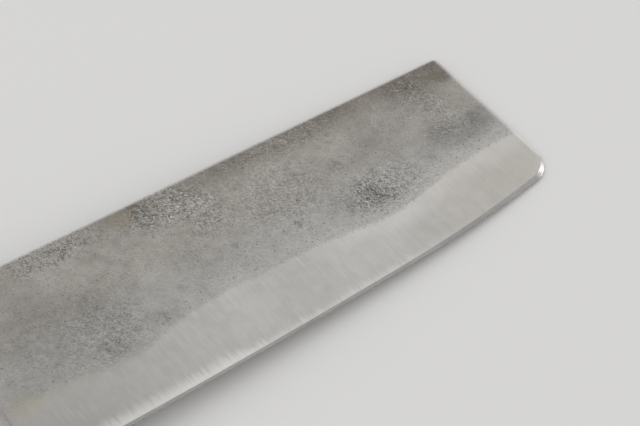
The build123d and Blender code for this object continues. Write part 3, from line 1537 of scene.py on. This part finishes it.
@dataclass(frozen=True)
class CladdingSteel(BladeSteel):
    """Soft stainless cladding: a pear-skin forged face, and a satin ground bevel below its line.

    Regions are lists of soft ovals. A ramp along is over x in metres, one at the line over the way
    below it in millimetres, and one at the spine over y in metres.
    """

    upper: Colour = (0.370, 0.350, 0.322, 1)
    lower: Colour = (0.392, 0.386, 0.366, 1)
    pale: Colour = (0.56, 0.55, 0.525, 1)
    brown: Colour = (0.155, 0.138, 0.112, 1)
    stain: Colour = (0.40, 0.36, 0.28, 1)
    pit: Colour = (0.090, 0.078, 0.066, 1)
    upwards: Ramp = (-0.030, -0.016)
    cloud_dark: Ramp = (0.5, 0.05, 0, 0.2)
    cloud_pale: Ramp = (0.5, 0.95, 0, 0.14)
    grain_dark: Ramp = (0.5, 0.25)
    grain_pale: Ramp = (0.5, 0.75)
    lip_share: float = 0.85
    hollow_share: float = 0.66
    rubbed_share: float = 0.85
    scale_least: float = 0.16
    scale_contrast: float = 0.5
    calm_pitting: float = -0.15
    specks: Noise = Noise(1.5, detail=6, roughness=0.75, seed=12)
    speck_tan: Ramp = (0.3, 0.65, 0.65, 1)
    speck_clump: Ramp = (0.36, 0.64, 0, 1.2)
    speck_blemish: Ramp = (0.44, 0.54, 0.1, 1)
    patches: Noise = Noise(7, roughness=0.6, seed=17)
    patch_contrast: Ramp = (0.38, 0.62, 0.10, 0.34)
    spine_tan: Ramp = (-0.009, -0.0012, 0, 0.72)
    spine_tan_along: Ramp = (0.03, 0.095, 0.2, 1)
    line_pitting: Ramp = (-12, -1, 0, 0.045)
    line_pitting_along: Ramp = (0.04, 0.1)
    line_pale: Ramp = (-6, -0.5, 0, 0.7)
    line_pale_along: Ramp = (0.03, 0.075, 0.1, 1)
    # Painted sheen: the bevel is paler just below its line, towards the tip.
    under_line: Ramp = (1, 7, 0.25, 0)
    under_line_along: Ramp = (0.08, 0.12)
    border_noise: Noise = Noise(0.8, roughness=0.6, seed=1)
    border_wander: Ramp = (0.2, 0.8, -1, 1)
    border_wander_along: Ramp = (0.06, 0.11, 0.45, 0.7)
    border_width_along: Ramp = (0.015, 0.075, 2.1, 1)
    border_shift: float = 0.2
    border: Ramp = (-0.7, 0.55)
    skin_roughness: Ramp = (0, 1, 0.47, 0.37)
    hollow_roughness: float = 0.15
    bevel_height: float = 0.25
    scratch_height: float = 0.06
    bump: ClassVar[float] = 0.07
    pitted: Spots = (
        (115, 30, 13, 8, 0.32), (127, 32, 13, 5, 0.14), (96, 26, 8, 6, 0.12),
        (162, 4.5, 5, 5, 0.1),
    )
    scaly: Spots = (
        (64, 5, 15, 8, 0.8), (105, 3, 32, 5, 0.3), (73, 11, 10, 11, 0.6),
        (115.5, 29.5, 9, 6.5, 0.7), (119, 29, 19, 9, 0.5), (94, 17, 20, 14, 0.36),
        (149, 6, 9, 6, 0.5), (152, 13, 7, 5, 0.5), (151, 22, 14, 8, 0.3),
        (32, 29, 15, 11, 0.35), (34, 3, 18, 6, 0.75),
    )
    calm: Spots = ((51, 25, 13, 10, 0.6), (38, 10, 12, 6, 0.4), (136, 20, 8, 9, 0.5))
    smudged: Spots = (
        (114.5, 30.5, 8, 5.5, 0.4), (144, 21.5, 9, 5, 0.3), (152, 25, 13, 7, 0.4),
        (161, 24, 7, 6, 0.32), (138, 11, 18, 9, 0.13), (124, 19, 15, 10, 0.24),
        (140, 26, 8, 4, 0.24), (160, 15, 6, 9, 0.22), (20, 13, 10, 8, 0.2),
        (23, 25, 24, 16, 0.14),
    )
    clumped: Spots = (
        (30.5, 33.5, 6, 4.5, 0.42), (45.5, 32.5, 5, 3.5, 0.4),
        (32, 21, 4, 3.5, 0.22), (23, 25, 22, 16, 0.24), (152, 22, 14, 9, 0.2),
        (150, 9, 12, 7, 0.2),
    )
    tanned: Spots = (
        (56, 2, 9, 5, 0.6), (161.8, 4.4, 5, 6, 1.0), (153, 4, 18, 10, 0.6),
        (28, 20, 10, 8, 0.15), (121, 5, 18, 7, 0.24),
    )
    stained: Spots = (
        (4, 36, 9, 4, 0.32), (14, 37, 12, 3, 0.14), (54, 3, 6, 4, 0.4),
        (160, 14, 5, 7, 0.12),
    )
    blemishes: Spots = (
        (96.7, 20.8, 1.7, 1.3, 0.9), (91.5, 27, 1.3, 2.2, 0.7),
        (73.3, 24.4, 1.2, 1.4, 0.6), (113, 17, 3, 4, 0.6),
        (120.5, 23.5, 1.8, 1.6, 0.8), (147.8, 5, 2.2, 1.4, 0.7),
        (18, 31, 5, 2.5, 0.4),
    )

    def forged(self, nodes: Nodes, effects: Effects, place: Value, below: Value) -> Look:
        """The forged face: coats of smudges, browning and paler steel, with the skin on top and a
        painted highlight on the lips of its marks.

        Args:
            nodes: The material's nodes.
            effects: The shared effects.
            place: The place on the blade.
            below: How far the place lies below the bevel's line.

        Returns:
            Its colour, roughness and height.
        """
        x, y, _ = nodes.axes(place)
        calm = nodes.region(place, self.calm)
        scaly = nodes.region(place, self.scaly) + self.scale_least
        pitting = below.ease(*self.line_pitting) * x.ease(*self.line_pitting_along)
        pitting = pitting + nodes.region(place, self.pitted) + calm * self.calm_pitting
        given = {"Place": place, "Pitting": pitting, "Scale marks": scaly}
        skin = nodes.group(effects.groups["skin"], **given)
        cloud = nodes.group(effects.groups["mottle"], Place=place)["Shade"]
        speck = nodes.noise(place, self.specks)
        spine = y.ease(*self.spine_tan) * x.ease(*self.spine_tan_along)
        tanned = nodes.calc("MINIMUM", nodes.region(place, self.tanned) + spine, 1)
        clumped = speck.ease(*self.speck_clump) * nodes.region(place, self.clumped)
        blemished = speck.ease(*self.speck_blemish) * nodes.region(place, self.blemishes)
        contrast = nodes.noise(place, self.patches).ease(*self.patch_contrast)
        contrast = (contrast + scaly * self.scale_contrast) * (1 - calm)
        pale_grain = skin["Grain"].ease(*self.grain_pale) * contrast
        colour = nodes.coated(
            nodes.mix(y.ease(*self.upwards), self.lower, self.upper),
            (cloud.ease(*self.cloud_dark), self.smudge),
            (cloud.ease(*self.cloud_pale), self.pale),
            (tanned * speck.ease(*self.speck_tan), self.brown),
            (below.ease(*self.line_pale) * x.ease(*self.line_pale_along), self.bright),
            (nodes.greatest(clumped + nodes.region(place, self.smudged), blemished), self.smudge),
            (skin["Grain"].ease(*self.grain_dark) * contrast, self.smudge),
            # Painted highlight: the raised lips beside the marks are made paler, as if lit from one
            # side.
            (nodes.greatest(pale_grain, skin["Lips"] * self.lip_share), self.pale),
            (skin["Hollows"] * self.hollow_share, self.pit),
        )
        rough = cloud.ease(*self.skin_roughness) + skin["Hollows"] * self.hollow_roughness
        return colour, rough, skin["Height"]

    def look(self, nodes: Nodes, effects: Effects) -> Look:
        """The forged face above the line, the ground bevel below it with a painted sheen just under
        the line, and a soft ragged border.

        Args:
            nodes: The material's nodes.
            effects: The shared effects.

        Returns:
            Its colour, roughness and height.
        """
        place, below = nodes.place(), nodes.attribute("below_line")
        x = nodes.axes(place)[0]
        wander = nodes.noise(place, self.border_noise).ease(*self.border_wander)
        border = below + wander * x.ease(*self.border_wander_along) + self.border_shift
        ground = (border / x.ease(*self.border_width_along)).ease(*self.border)
        colour, rough, height = self.forged(nodes, effects, place, below)
        satin = self.ground(nodes, effects, place)
        # Painted sheen: paler steel just below the bevel's line, towards the tip.
        under = below.ease(*self.under_line) * x.ease(*self.under_line_along)
        bevel = self.toned(nodes, x, nodes.mix(under, satin["Colour"], self.rubbed))
        colour = nodes.coated(
            nodes.mix(ground, colour, bevel),
            (nodes.region(place, self.stained), self.stain),
            # Rubbed paler steel with a painted highlight along the spine and the tip's end.
            (nodes.attribute("worn") * self.rubbed_share, self.rubbed),
        )
        scratched = satin["Height"] * self.scratch_height + self.bevel_height
        rough = nodes.between(ground, rough, satin["Roughness"])
        return colour, rough, nodes.between(ground, height, scratched)


@dataclass(frozen=True)
class Horn(Finish):
    """Polished dark buffalo horn with faint streaks along it."""

    deep: Colour = (0.012, 0.011, 0.010, 1)
    light: Colour = (0.055, 0.045, 0.036, 1)
    pale: Colour = (0.20, 0.155, 0.105, 1)
    streaks: Noise = Noise((30, 2.2, 2.2), detail=4, roughness=0.6, distortion=0.6, seed=3)
    pale_streaks: Noise = Noise((45, 5, 5), distortion=0.8, seed=15)
    fibres: Noise = Noise((9, 0.22, 0.22))
    light_share: Ramp = (0.42, 0.68)
    pale_share: Ramp = (0.60, 0.74, 0, 0.55)
    worn_share: Ramp = (0.2, 0.8, 0.1, 0.45)
    roughness: Ramp = (0.3, 0.7, 0.2, 0.32)
    worn_roughness: float = 0.2
    bump: ClassVar[float] = 0.006

    def look(self, nodes: Nodes, effects: Effects) -> Look:
        """Streaks are noise stretched along the handle, with a few paler ones.

        Args:
            nodes: The material's nodes.
            effects: The shared effects.

        Returns:
            Its colour, roughness and height.
        """
        place = nodes.place()
        streak = nodes.noise(place, self.streaks)
        pale = nodes.noise(place, self.pale_streaks)
        fibre = nodes.noise(place, self.fibres)
        cloud = nodes.group(effects.groups["mottle"], Place=place)["Shade"]
        edge = nodes.attribute("worn") * cloud.ease(*self.worn_share)
        colour = nodes.coated(
            nodes.mix(streak.ease(*self.light_share), self.deep, self.light),
            (pale.ease(*self.pale_share), self.pale),
            (edge, self.light),
        )
        return colour, fibre.ease(*self.roughness) + edge * self.worn_roughness, fibre


@dataclass(frozen=True)
class MagnoliaWood(Finish):
    """Bare sanded magnolia: pale, fine and straight, with growth rings on its end."""

    early: Colour = (0.60, 0.475, 0.315, 1)
    late: Colour = (0.47, 0.355, 0.215, 1)
    pore: Colour = (0.33, 0.235, 0.135, 1)
    handled: Colour = (0.40, 0.285, 0.165, 1)
    pith: tuple[float, float] = (-46.0, -31.0)
    ring: float = 2.1
    ring_bend: float = 2.4
    bends: Noise = Noise((70, 9, 9), detail=2, seed=2)
    fibres: Noise = Noise((26, 0.32, 0.32), detail=4, roughness=0.6)
    pores: Noise = Noise((3.2, 0.13, 0.13), detail=2, seed=5)
    pore_cut: Ramp = (0.62, 0.72)
    late_rise: Ramp = (0.35, 0.9)
    late_fall: Ramp = (1, 0.93)
    fibre_shade: Ramp = (0.3, 0.7, 0, 0.35)
    handled_share: Ramp = (0.1, 0.9, 0.1, 0.5)
    late_share: float = 0.34
    cloud_share: float = 0.15
    pore_share: float = 0.42
    pore_depth: float = 0.5
    roughness: Ramp = (0.3, 0.7, 0.62, 0.5)
    worn_roughness: float = -0.15
    bump: ClassVar[float] = 0.025

    def look(self, nodes: Nodes, effects: Effects) -> Look:
        """Rings are circles round a pith line beside the handle, a little bent by noise.

        Args:
            nodes: The material's nodes.
            effects: The shared effects.

        Returns:
            Its colour, roughness and height.
        """
        place = nodes.place()
        _, y, z = nodes.axes(place)
        bent = nodes.noise(place, self.bends) * self.ring_bend
        rise, out = (axis - at * MM for axis, at in zip((y, z), self.pith))
        radius = nodes.calc("SQRT", rise * rise + out * out) / (self.ring * MM)
        phase = nodes.calc("FRACT", radius + bent)
        late = phase.ease(*self.late_rise) * phase.ease(*self.late_fall)
        fibre = nodes.noise(place, self.fibres)
        pores = nodes.noise(place, self.pores).ease(*self.pore_cut)
        cloud = nodes.group(effects.groups["mottle"], Place=place)["Shade"]
        touched = nodes.attribute("worn") * cloud.ease(*self.handled_share)
        share = late * self.late_share + fibre.ease(*self.fibre_shade) + cloud * self.cloud_share
        coats = (pores * self.pore_share, self.pore), (touched, self.handled)
        colour = nodes.coated(nodes.mix(share, self.early, self.late), *coats)
        rough = fibre.ease(*self.roughness) + touched * self.worn_roughness
        return colour, rough, fibre - pores * self.pore_depth


@dataclass(frozen=True)
class SetAdhesive(Finish):
    """Set adhesive: yellowish brown, a little glossy, with small hollows."""

    clear: Colour = (0.30, 0.215, 0.115, 1)
    cloudy: Colour = (0.42, 0.33, 0.20, 1)
    clouds: Noise = Noise(2.4, detail=4)
    grain: Noise = Noise(0.35, seed=3)
    cloudy_share: Ramp = (0.35, 0.65)
    roughness: Ramp = (0.3, 0.7, 0.35, 0.55)
    bump: ClassVar[float] = 0.05

    def look(self, nodes: Nodes, effects: Effects) -> Look:
        """Clouds of a few millimetres and fine grain, on the model's own coordinates.

        Args:
            nodes: The material's nodes.
            effects: The shared effects.

        Returns:
            Its colour, roughness and height.
        """
        place = nodes.made("TexCoord", {}, "Object")
        cloud, grain = nodes.noise(place, self.clouds), nodes.noise(place, self.grain)
        colour = nodes.mix(cloud.ease(*self.cloudy_share), self.clear, self.cloudy)
        return colour, grain.ease(*self.roughness), grain


def add_object(name: str, data: bpy.types.ID) -> bpy.types.Object:
    """A new object in the scene.

    Args:
        name: Its name.
        data: Its mesh, camera or lamp.

    Returns:
        The object.
    """
    thing = bpy.data.objects.new(name, data)
    bpy.context.scene.collection.objects.link(thing)
    return thing


def stand_at(thing: bpy.types.Object, place: Array, side: Array, back: Array) -> None:
    """Puts a camera or a lamp in its place, looking forwards.

    Args:
        thing: The camera or the lamp.
        place: Its place.
        side: The direction on its right.
        back: The direction behind it.
    """
    pose = np.eye(4)
    pose[:3, :3] = np.stack([side, np.cross(back, side), back], 1)
    pose[:3, 3] = place
    thing.matrix_world = Matrix(pose.tolist())


def add_piece(
    name: str, mesh: bpy.types.Mesh, materials: list[bpy.types.Material], node: str
) -> bpy.types.Object:
    """A piece that stands for a CAD node and rides with it.

    Args:
        name: The piece's name.
        mesh: Its mesh, in place.
        materials: Its materials, in the order of the mesh's finishes.
        node: The CAD node that it stands for.

    Returns:
        The piece.
    """
    piece = add_object(name, mesh)
    for material in materials:
        mesh.materials.append(material)
    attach(piece, "root")
    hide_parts(node)
    mesh.calc_loop_triangles()
    log.info("%s: %d triangles, stands for %s", name, len(mesh.loop_triangles), node)
    return piece


@dataclass
class Blade:
    """The forge-welded blade: a hard core with a cladding on each side."""

    shape: BladeShape = field(default_factory=BladeShape)
    skin_rows: Rows = Rows(1, 66, 38, 30, 14, 5)
    core_rows: Rows = Rows(1, 8, 5, 4, 16, 6)
    skin_columns: int = 470
    core_columns: int = 470
    neck_columns: int = 60
    # The rubbed steel and its painted highlight at the spine and at the tip's end: strength at the
    # rim, and reach.
    spine_wear: tuple[float, float] = (1.5, 0.55)
    end_wear: tuple[float, float] = (1.2, 1.2)

    def grid(self, rows: Rows, columns: int, last: int) -> tuple[Array, Array, Array, Array]:
        """The flat points of blade and neck down to a row, and how they are joined.

        Args:
            rows: The rows of the grid.
            columns: How many columns the blade has.
            last: The row where this grid ends.

        Returns:
            The points, the faces, the numbers of the outer loop, and which faces lie past the
            start of the edge bevel.
        """
        grid = BladeGrid(self.shape, rows, columns, self.neck_columns)
        blade = grid.blade()[:, : last + 1]
        neck = grid.neck(blade[0, : rows.to_neck + 1])
        wide, tall = blade.shape[:2]
        numbers = np.arange(wide * tall).reshape(wide, tall)
        tang = np.arange(neck.shape[0] * neck.shape[1]).reshape(neck.shape[:2]) + numbers.size
        joined = np.concatenate([tang, numbers[:1, : rows.to_neck + 1]])
        faces = np.concatenate([quads(numbers), quads(joined)])
        row = np.zeros(len(faces))
        row[: numbers[:-1, :-1].size] = np.tile(np.arange(tall - 1), wide - 1)
        loop = np.concatenate(
            [
                tang[:, 0],
                numbers[:, 0],
                numbers[-1, 1:],
                numbers[-2::-1, -1],
                numbers[0, -2 : rows.to_neck - 1 : -1],
                tang[::-1, -1],
                tang[0, -2:0:-1],
            ]
        )
        points = np.concatenate([blade.reshape(-1, 2), neck.reshape(-1, 2)])
        return points, faces, loop, row >= rows.to_honed

    def values(self, flat: Array) -> dict[str, Array]:
        """What the finishes read: the way below the bevel's line and from the edge, and the wear
        and painted sheen of the rims.

        These fall with the distance from the spine and from the tip's end, where the cladding is
        rubbed paler and given a painted highlight.

        Args:
            flat: Points of the blade's flat.

        Returns:
            The values, by the names of their attributes.
        """
        (spine, spine_reach), (end, end_reach) = self.spine_wear, self.end_wear
        spine_rim = spine - flat[:, 1] / spine_reach
        end_rim = end - (self.shape.length - flat[:, 0]) / end_reach
        return {
            "below_line": flat[:, 1] - self.shape.line_depth(flat[:, 0]),
            "from_edge": self.shape.edge_side().distance(flat),
            # On the blade: rubbed rims with a painted highlight. On the handle: the wear of its
            # corners.
            "worn": np.clip(np.maximum(spine_rim, end_rim), 0, 1),
        }

    def cladding(self, side: Side) -> Surface:
        """One cladding: its outer side, its rim down to the weld, and its welded side.

        Args:
            side: The side of the blade that it lies on.

        Returns:
            The surface, with a second finish on its rim and welded side.
        """
        shape = self.shape
        flat, faces, loop, _ = self.grid(self.skin_rows, self.skin_columns, self.skin_rows.to_weld)
        height = np.maximum(shape.eased(flat) + shape.uneven(flat), shape.weld)
        wall = height[loop] > shape.weld + NO_WALL
        below = loop.copy()
        below[wall] = len(flat) + np.arange(wall.sum())
        inner = flat[loop[wall]]
        every = np.concatenate([flat, inner])
        heights = np.concatenate([height, np.full(len(inner), shape.weld)])
        points = np.column_stack([every[:, 0], -every[:, 1], side.value * heights])
        parts = [faces, *rim_faces(loop, below), below[None, :]]
        return Surface(points, parts, self.values(every), [0, 1, 1, 1])

    def core(self) -> Surface:
        """The core: both of its sides, its rim, and the edge where the sides meet.

        Returns:
            The surface, with a second finish on its edge bevel and a third on its rim.
        """
        shape, rows = self.shape, self.core_rows
        last = sum(rows.counts)
        flat, faces, loop, honed = self.grid(rows, self.core_columns, last)
        height = np.clip(shape.eased(flat), 0, shape.weld)
        apart = height > NO_WALL
        mirror = np.arange(len(flat))
        mirror[apart] = len(flat) + np.arange(apart.sum())
        other = flat[apart]
        every = np.concatenate([flat, other])
        heights = np.concatenate([height * apart, -height[apart]])
        points = np.column_stack([every[:, 0], -every[:, 1], heights])
        backs = mirror[faces][:, ::-1]
        sides = [faces[~honed], backs[~honed], faces[honed], backs[honed]]
        parts = sides + rim_faces(loop, mirror[loop])
        return Surface(points, parts, self.values(every), [0, 0, 1, 1, 2, 2])

    def build(self, placement: Placement, effects: Effects) -> None:
        """Builds and dresses the three layers.

        Args:
            placement: How the knife lies on the table.
            effects: The shared effects.
        """
        satin = CoreSteel("core_satin")
        honed = GroundSteel("core_honed", (0.52, 0.51, 0.49, 1), (0.36, 0.35, 0.34, 1), 0.15)
        rim = GroundSteel("rim_ground", (0.62, 0.615, 0.60, 1), (0.50, 0.495, 0.48, 1))
        clad = CladdingSteel("cladding_steel").material(effects)
        finishes = [finish.material(effects) for finish in (satin, honed, rim)]
        core = self.core().mesh("dressed_core", placement)
        add_piece("dressed_core", core, finishes, "hard_core")
        for side in Side:
            node = f"{side.name.lower()}_cladding"
            mesh = self.cladding(side).mesh(f"dressed_{node}", placement)
            add_piece(f"dressed_{node}", mesh, [clad, finishes[2]], node)


@dataclass
class Handle:
    """The eight-sided handle: a horn collar and a wooden grip, on the tang's axis."""

    front: float = -12.0
    length: float = 128.0
    front_height: float = 22.0
    front_width: float = 18.0
    butt_height: float = 25.0
    butt_width: float = 20.5
    corner_share: float = 0.29
    easing: float = 0.7
    collar: float = 30.0
    collar_chamfer: float = 1.0
    butt_chamfer: float = 2.0
    tenon: float = 14.0
    clearance: float = 0.1
    slot_clearance: float = 0.4
    slot_room: float = 4.0
    axis_depth: float = 9.0
    arc_points: int = 6
    flat_shares: tuple[float, ...] = (0.06, 0.35, 0.65, 0.94)
    step: float = 1.6

    def half_size(self, x: Array) -> tuple[Array, Array, Array]:
        """Half of its height and width at x, and the cut of its corners.

        Args:
            x: The places along the handle.

        Returns:
            The half heights, the half widths and the cuts.
        """
        share = (self.front - np.asarray(x, float)) / self.length
        height = self.front_height + (self.butt_height - self.front_height) * share
        width = self.front_width + (self.butt_width - self.front_width) * share
        return height / 2, width / 2, self.corner_share * width

    def touching_point(self) -> Array:
        """The corner of the collar's bottom flat that the knife rests on.

        Returns:
            The point in the maker's frame.
        """
        x = self.front - self.collar_chamfer
        tall, wide, cut = self.half_size(x)
        return np.array([x, cut - tall - self.axis_depth, -wide])

    def eight_sided(self, x: Array, inset: Array) -> Array:
        """Rings of the eased eight-sided section.

        The flats face every 45 degrees. The corners of an octagon that lies the easing inside
        them are the centres of arcs, and straight flats join the arcs. Each corner lies at its
        first flat's distance d along that flat's normal, and at (e - d cos 45) / sin 45 along
        the flat, where e is the distance of the next flat.

        Args:
            x: The place of each ring.
            inset: How far each ring's flats lie inside the handle's.

        Returns:
            The points by ring and place on the ring.
        """
        tall, wide, cut = self.half_size(x)
        diagonal = (tall + wide - cut) / math.sqrt(2)
        reach = np.stack([tall, diagonal, wide, diagonal] * 2, 1) - inset[:, None] - self.easing
        angle = np.arange(8) * math.pi / 4
        normal = bearing(angle)
        along = np.stack([-normal[:, 1], normal[:, 0]], 1)
        turn = math.pi / 4
        run = (np.roll(reach, -1, 1) - reach * math.cos(turn)) / math.sin(turn)
        centre = reach[..., None] * normal + run[..., None] * along
        sweep = angle[:, None] + np.linspace(0, turn, self.arc_points)
        arcs = centre[:, :, None] + bearing(sweep) * self.easing
        following = np.roll(arcs[:, :, 0], -1, 1)
        share = np.array(self.flat_shares)[:, None]
        flats = arcs[:, :, -1:] + share * (following - arcs[:, :, -1])[:, :, None]
        points = np.concatenate([arcs, flats], 2).reshape(len(x), -1, 2)
        return self.stand(x, points)

    def stand(self, x: Array, ring: Array) -> Array:
        """Flat rings stood up across the handle's axis."""
        along = np.broadcast_to(np.asarray(x, float)[:, None], ring.shape[:2])
        return np.stack([along, ring[..., 0] - self.axis_depth, ring[..., 1]], -1)

    def bearings(self) -> Array:
        """The direction of each point of a ring, as the eight-sided one has them at the front."""
        ring = self.eight_sided(np.array([self.front]), np.zeros(1))[0]
        return bearing(np.arctan2(ring[:, 2], ring[:, 1] + self.axis_depth))

    def round_ring(self, x: Array, radius: float) -> Array:
        """Round rings, with each point in the direction of its like on the eight-sided ring."""
        ring = self.bearings() * radius
        return self.stand(x, np.broadcast_to(ring, (len(x), *ring.shape)))

    def slot_ring(self, x: Array, tall: Array, wide: Array) -> Array:
        """Rings of the tang's slot: each point of a round ring is carried out to a rectangle.

        A direction is divided by the greater of its two parts, and then stretched to size.

        Args:
            x: The place of each ring.
            tall: Their heights.
            wide: Their widths.

        Returns:
            The rings.
        """
        way = self.bearings()
        square = way / np.abs(way).max(axis=1, keepdims=True)
        half = np.stack([tall, wide], 1)[:, None] / 2
        return self.stand(x, square[None] * half)

    def worn(self, count: int) -> Array:
        """Where the handle's long corners are: 1 on their arcs and 0 on the flats, by ring.

        Args:
            count: How many rings there are.

        Returns:
            A value for each point.
        """
        ring = np.zeros((8, self.arc_points + len(self.flat_shares)))
        ring[:, : self.arc_points] = 1
        return np.tile(ring.ravel(), count)

    def tube(self, rings: list[Array], worn: list[bool], closed: bool) -> Surface:
        """A surface through rings, which ends on a flat at each end or runs round into itself.

        Args:
            rings: The rings, in stacks.
            worn: Whether each stack is the handle's outside, where its corners wear.
            closed: Whether the last ring joins the first.

        Returns:
            The surface, with the wear of its corners.
        """
        points = np.concatenate(rings)
        count, size = points.shape[:2]
        numbers = np.arange(count * size).reshape(count, size)
        if closed:
            numbers = np.concatenate([numbers, numbers[:1]])
        wrapped = np.concatenate([numbers, numbers[:, :1]], 1)
        faces = [quads(wrapped)]
        if not closed:
            faces += [numbers[0][None, :], numbers[-1][None, ::-1]]
        values = [self.worn(len(r)) * float(w) for r, w in zip(rings, worn)]
        return Surface(points.reshape(-1, 3), faces, {"worn": np.concatenate(values)})

    def stations(self, start: float, end: float) -> Array:
        """Places from one end to the other, about a step apart."""
        return np.linspace(start, end, max(2, round(abs(end - start) / self.step) + 1))

    def horn_collar(self) -> Surface:
        """The collar: outside, chamfered front, and bore.

        Returns:
            The surface.
        """
        back = self.front - self.collar
        outer = self.stations(back, self.front - self.collar_chamfer)
        face = np.array([self.front])
        bore = self.stations(self.front, back)
        rings = [
            self.eight_sided(outer, np.zeros(len(outer))),
            self.eight_sided(face, np.array([self.collar_chamfer])),
            self.round_ring(bore, self.tenon / 2 + self.clearance),
        ]
        return self.tube(rings, [True, False, False], closed=True)

    def grip(self, blade: BladeShape) -> Surface:
        """The grip: chamfered butt, outside, shoulder, tenon and the slot for the tang.

        Args:
            blade: The blade's sizes.

        Returns:
            The surface.
        """
        butt, shoulder = self.front - self.length, self.front - self.collar
        end = self.front - blade.tang_in_handle - self.slot_room
        outer = self.stations(butt + self.butt_chamfer, shoulder)
        inset = np.zeros(len(outer))
        room = 2 * self.slot_clearance
        tall = np.array([blade.tang_front, blade.tang_end]) + room
        wide = np.array([2 * blade.face(self.front, 0), blade.tang_thickness_end]) + room
        rings = [
            self.eight_sided(np.array([butt]), np.array([self.butt_chamfer])),
            self.eight_sided(outer, inset),
            self.round_ring(self.stations(shoulder, self.front), self.tenon / 2),
            self.slot_ring(np.array([self.front, end]), tall, wide),
        ]
        return self.tube(rings, [False, True, False, False], closed=False)

    def build(self, placement: Placement, effects: Effects, blade: BladeShape) -> None:
        """Builds and dresses the collar and the grip, and dresses the adhesive.

        Args:
            placement: How the knife lies on the table.
            effects: The shared effects.
            blade: The blade's sizes.
        """
        collar = self.horn_collar().mesh("dressed_collar", placement)
        grip = self.grip(blade).mesh("dressed_grip", placement)
        horn, wood = Horn("horn").material(effects), MagnoliaWood("magnolia").material(effects)
        add_piece("dressed_collar", collar, [horn], "ferrule")
        add_piece("dressed_grip", grip, [wood], "handle_grip")
        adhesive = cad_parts["tang_adhesive"]
        adhesive.data.materials.clear()
        adhesive.data.materials.append(SetAdhesive("set_adhesive").material(effects))
        log.info("tang_adhesive: the CAD node, with its own finish")


@dataclass(frozen=True)
class ViewPoint:
    """The camera's pose, measured from the heel's end of the spine on the right face.

    Its axes are those of the face: X along the spine, Y out of the spine, Z out of the face.
    """

    place: tuple[float, float, float] = (-127.63, -201.21, 304.89)
    right: tuple[float, float, float] = (0.7456, -0.639, 0.1887)
    back: tuple[float, float, float] = (-0.5417, -0.4165, 0.7300)
    lens: float = 93.57
    sensor: float = 36.0
    clip_start: float = 0.01

    def build(self, placement: Placement, shape: BladeShape) -> bpy.types.Object:
        """Adds the camera and makes it the scene's.

        Args:
            placement: How the knife lies on the table.
            shape: The blade's sizes, for the plane of its face.

        Returns:
            The camera.
        """
        heel = np.array([0, 0, shape.face(0.0, 0.0)])
        tip = np.array([shape.length, 0, shape.face(shape.length, 0.0)])
        low = np.array([0, -shape.face_depth, shape.face(0.0, shape.face_depth)])
        along = unit(tip - heel)
        out = unit(np.cross(along, heel - low))
        axes = np.stack([along, np.cross(out, along), out])
        to_row = placement.turn @ axes.T
        right = unit(to_row @ np.array(self.right))
        back = to_row @ np.array(self.back)
        back = unit(back - right * (back @ right))
        place = placement.lay((heel + np.array(self.place) @ axes)[None])[0]
        data = bpy.data.cameras.new("photo_view")
        data.sensor_fit = "HORIZONTAL"
        data.sensor_width, data.lens = self.sensor, self.lens
        data.clip_start = self.clip_start
        camera = add_object("photo_view", data)
        stand_at(camera, place, right, back)
        bpy.context.scene.camera = camera
        return camera


@dataclass(frozen=True)
class SoftBox:
    """A large soft lamp, with its middle and size in metres and its brightness as radiance."""

    name: str
    place: tuple[float, float, float]
    aim: tuple[float, float, float]
    size: tuple[float, float]
    radiance: float

    def build(self) -> bpy.types.Object:
        """Adds the lamp. Its power is radiance times pi times its area.

        Returns:
            The lamp.
        """
        data = bpy.data.lights.new(self.name, "AREA")
        data.shape = "RECTANGLE"
        data.size, data.size_y = self.size
        data.energy = self.radiance * math.pi * self.size[0] * self.size[1]
        lamp = add_object(self.name, data)
        back = unit(np.array(self.place) - np.array(self.aim))
        side = unit(np.cross(np.array([0.0, 1.0, 0.0]), back))
        stand_at(lamp, np.array(self.place), side, back)
        lamp.visible_camera = False
        return lamp


@dataclass(frozen=True)
class Studio:
    """A plain pale floor, an even sky and soft lamps."""

    floor: Colour = (0.82, 0.815, 0.805, 1)
    floor_half: float = 4.0
    floor_roughness: float = 0.9
    sky: float = 0.68
    sky_colour: Colour = (1, 1, 1, 1)
    lamps: tuple[SoftBox, ...] = (
        SoftBox("key", (0.92, 0.66, 0.95), (0.08, 0.0, 0.0), (0.95, 0.90), 0.48),
        SoftBox("fill", (-1.10, -0.25, 0.95), (0.0, 0.0, 0.0), (1.3, 1.6), 0.7),
        SoftBox("corner", (1.25, 0.14, 0.84), (0.15, -0.04, 0.0), (0.09, 0.09), 6.5),
    )

    def build(self) -> None:
        """Adds the floor, the sky and the lamps."""
        half = self.floor_half
        mesh = bpy.data.meshes.new("floor")
        corners = [(-half, -half, 0), (half, -half, 0), (half, half, 0), (-half, half, 0)]
        mesh.from_pydata(corners, [], [(0, 1, 2, 3)])
        floor = add_object("floor", mesh)
        material = bpy.data.materials.new("pale_floor")
        material.use_nodes = True
        shader = material.node_tree.nodes["Principled BSDF"]
        shader.inputs["Base Color"].default_value = self.floor
        shader.inputs["Roughness"].default_value = self.floor_roughness
        mesh.materials.append(material)
        world = bpy.data.worlds.new("studio")
        bpy.context.scene.world = world
        world.use_nodes = True
        background = world.node_tree.nodes["Background"]
        background.inputs["Color"].default_value = self.sky_colour
        background.inputs["Strength"].default_value = self.sky
        for lamp in self.lamps:
            lamp.build()


def main() -> None:
    """Builds the dressed knife, its studio and the camera."""
    logging.basicConfig(level=logging.INFO, format="%(name)s: %(message)s")
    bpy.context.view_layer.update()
    blade, handle = Blade(), Handle()
    placement = Placement.resting(blade.shape, handle.touching_point())
    placement = placement.fitted(blade.core().points, "hard_core")
    ViewPoint().build(placement, blade.shape)
    Studio().build()
    effects = Effects()
    blade.build(placement, effects)
    handle.build(placement, effects, blade.shape)
    bpy.context.scene.view_settings.view_transform = "Standard"


if __name__ == "__main__":
    main()
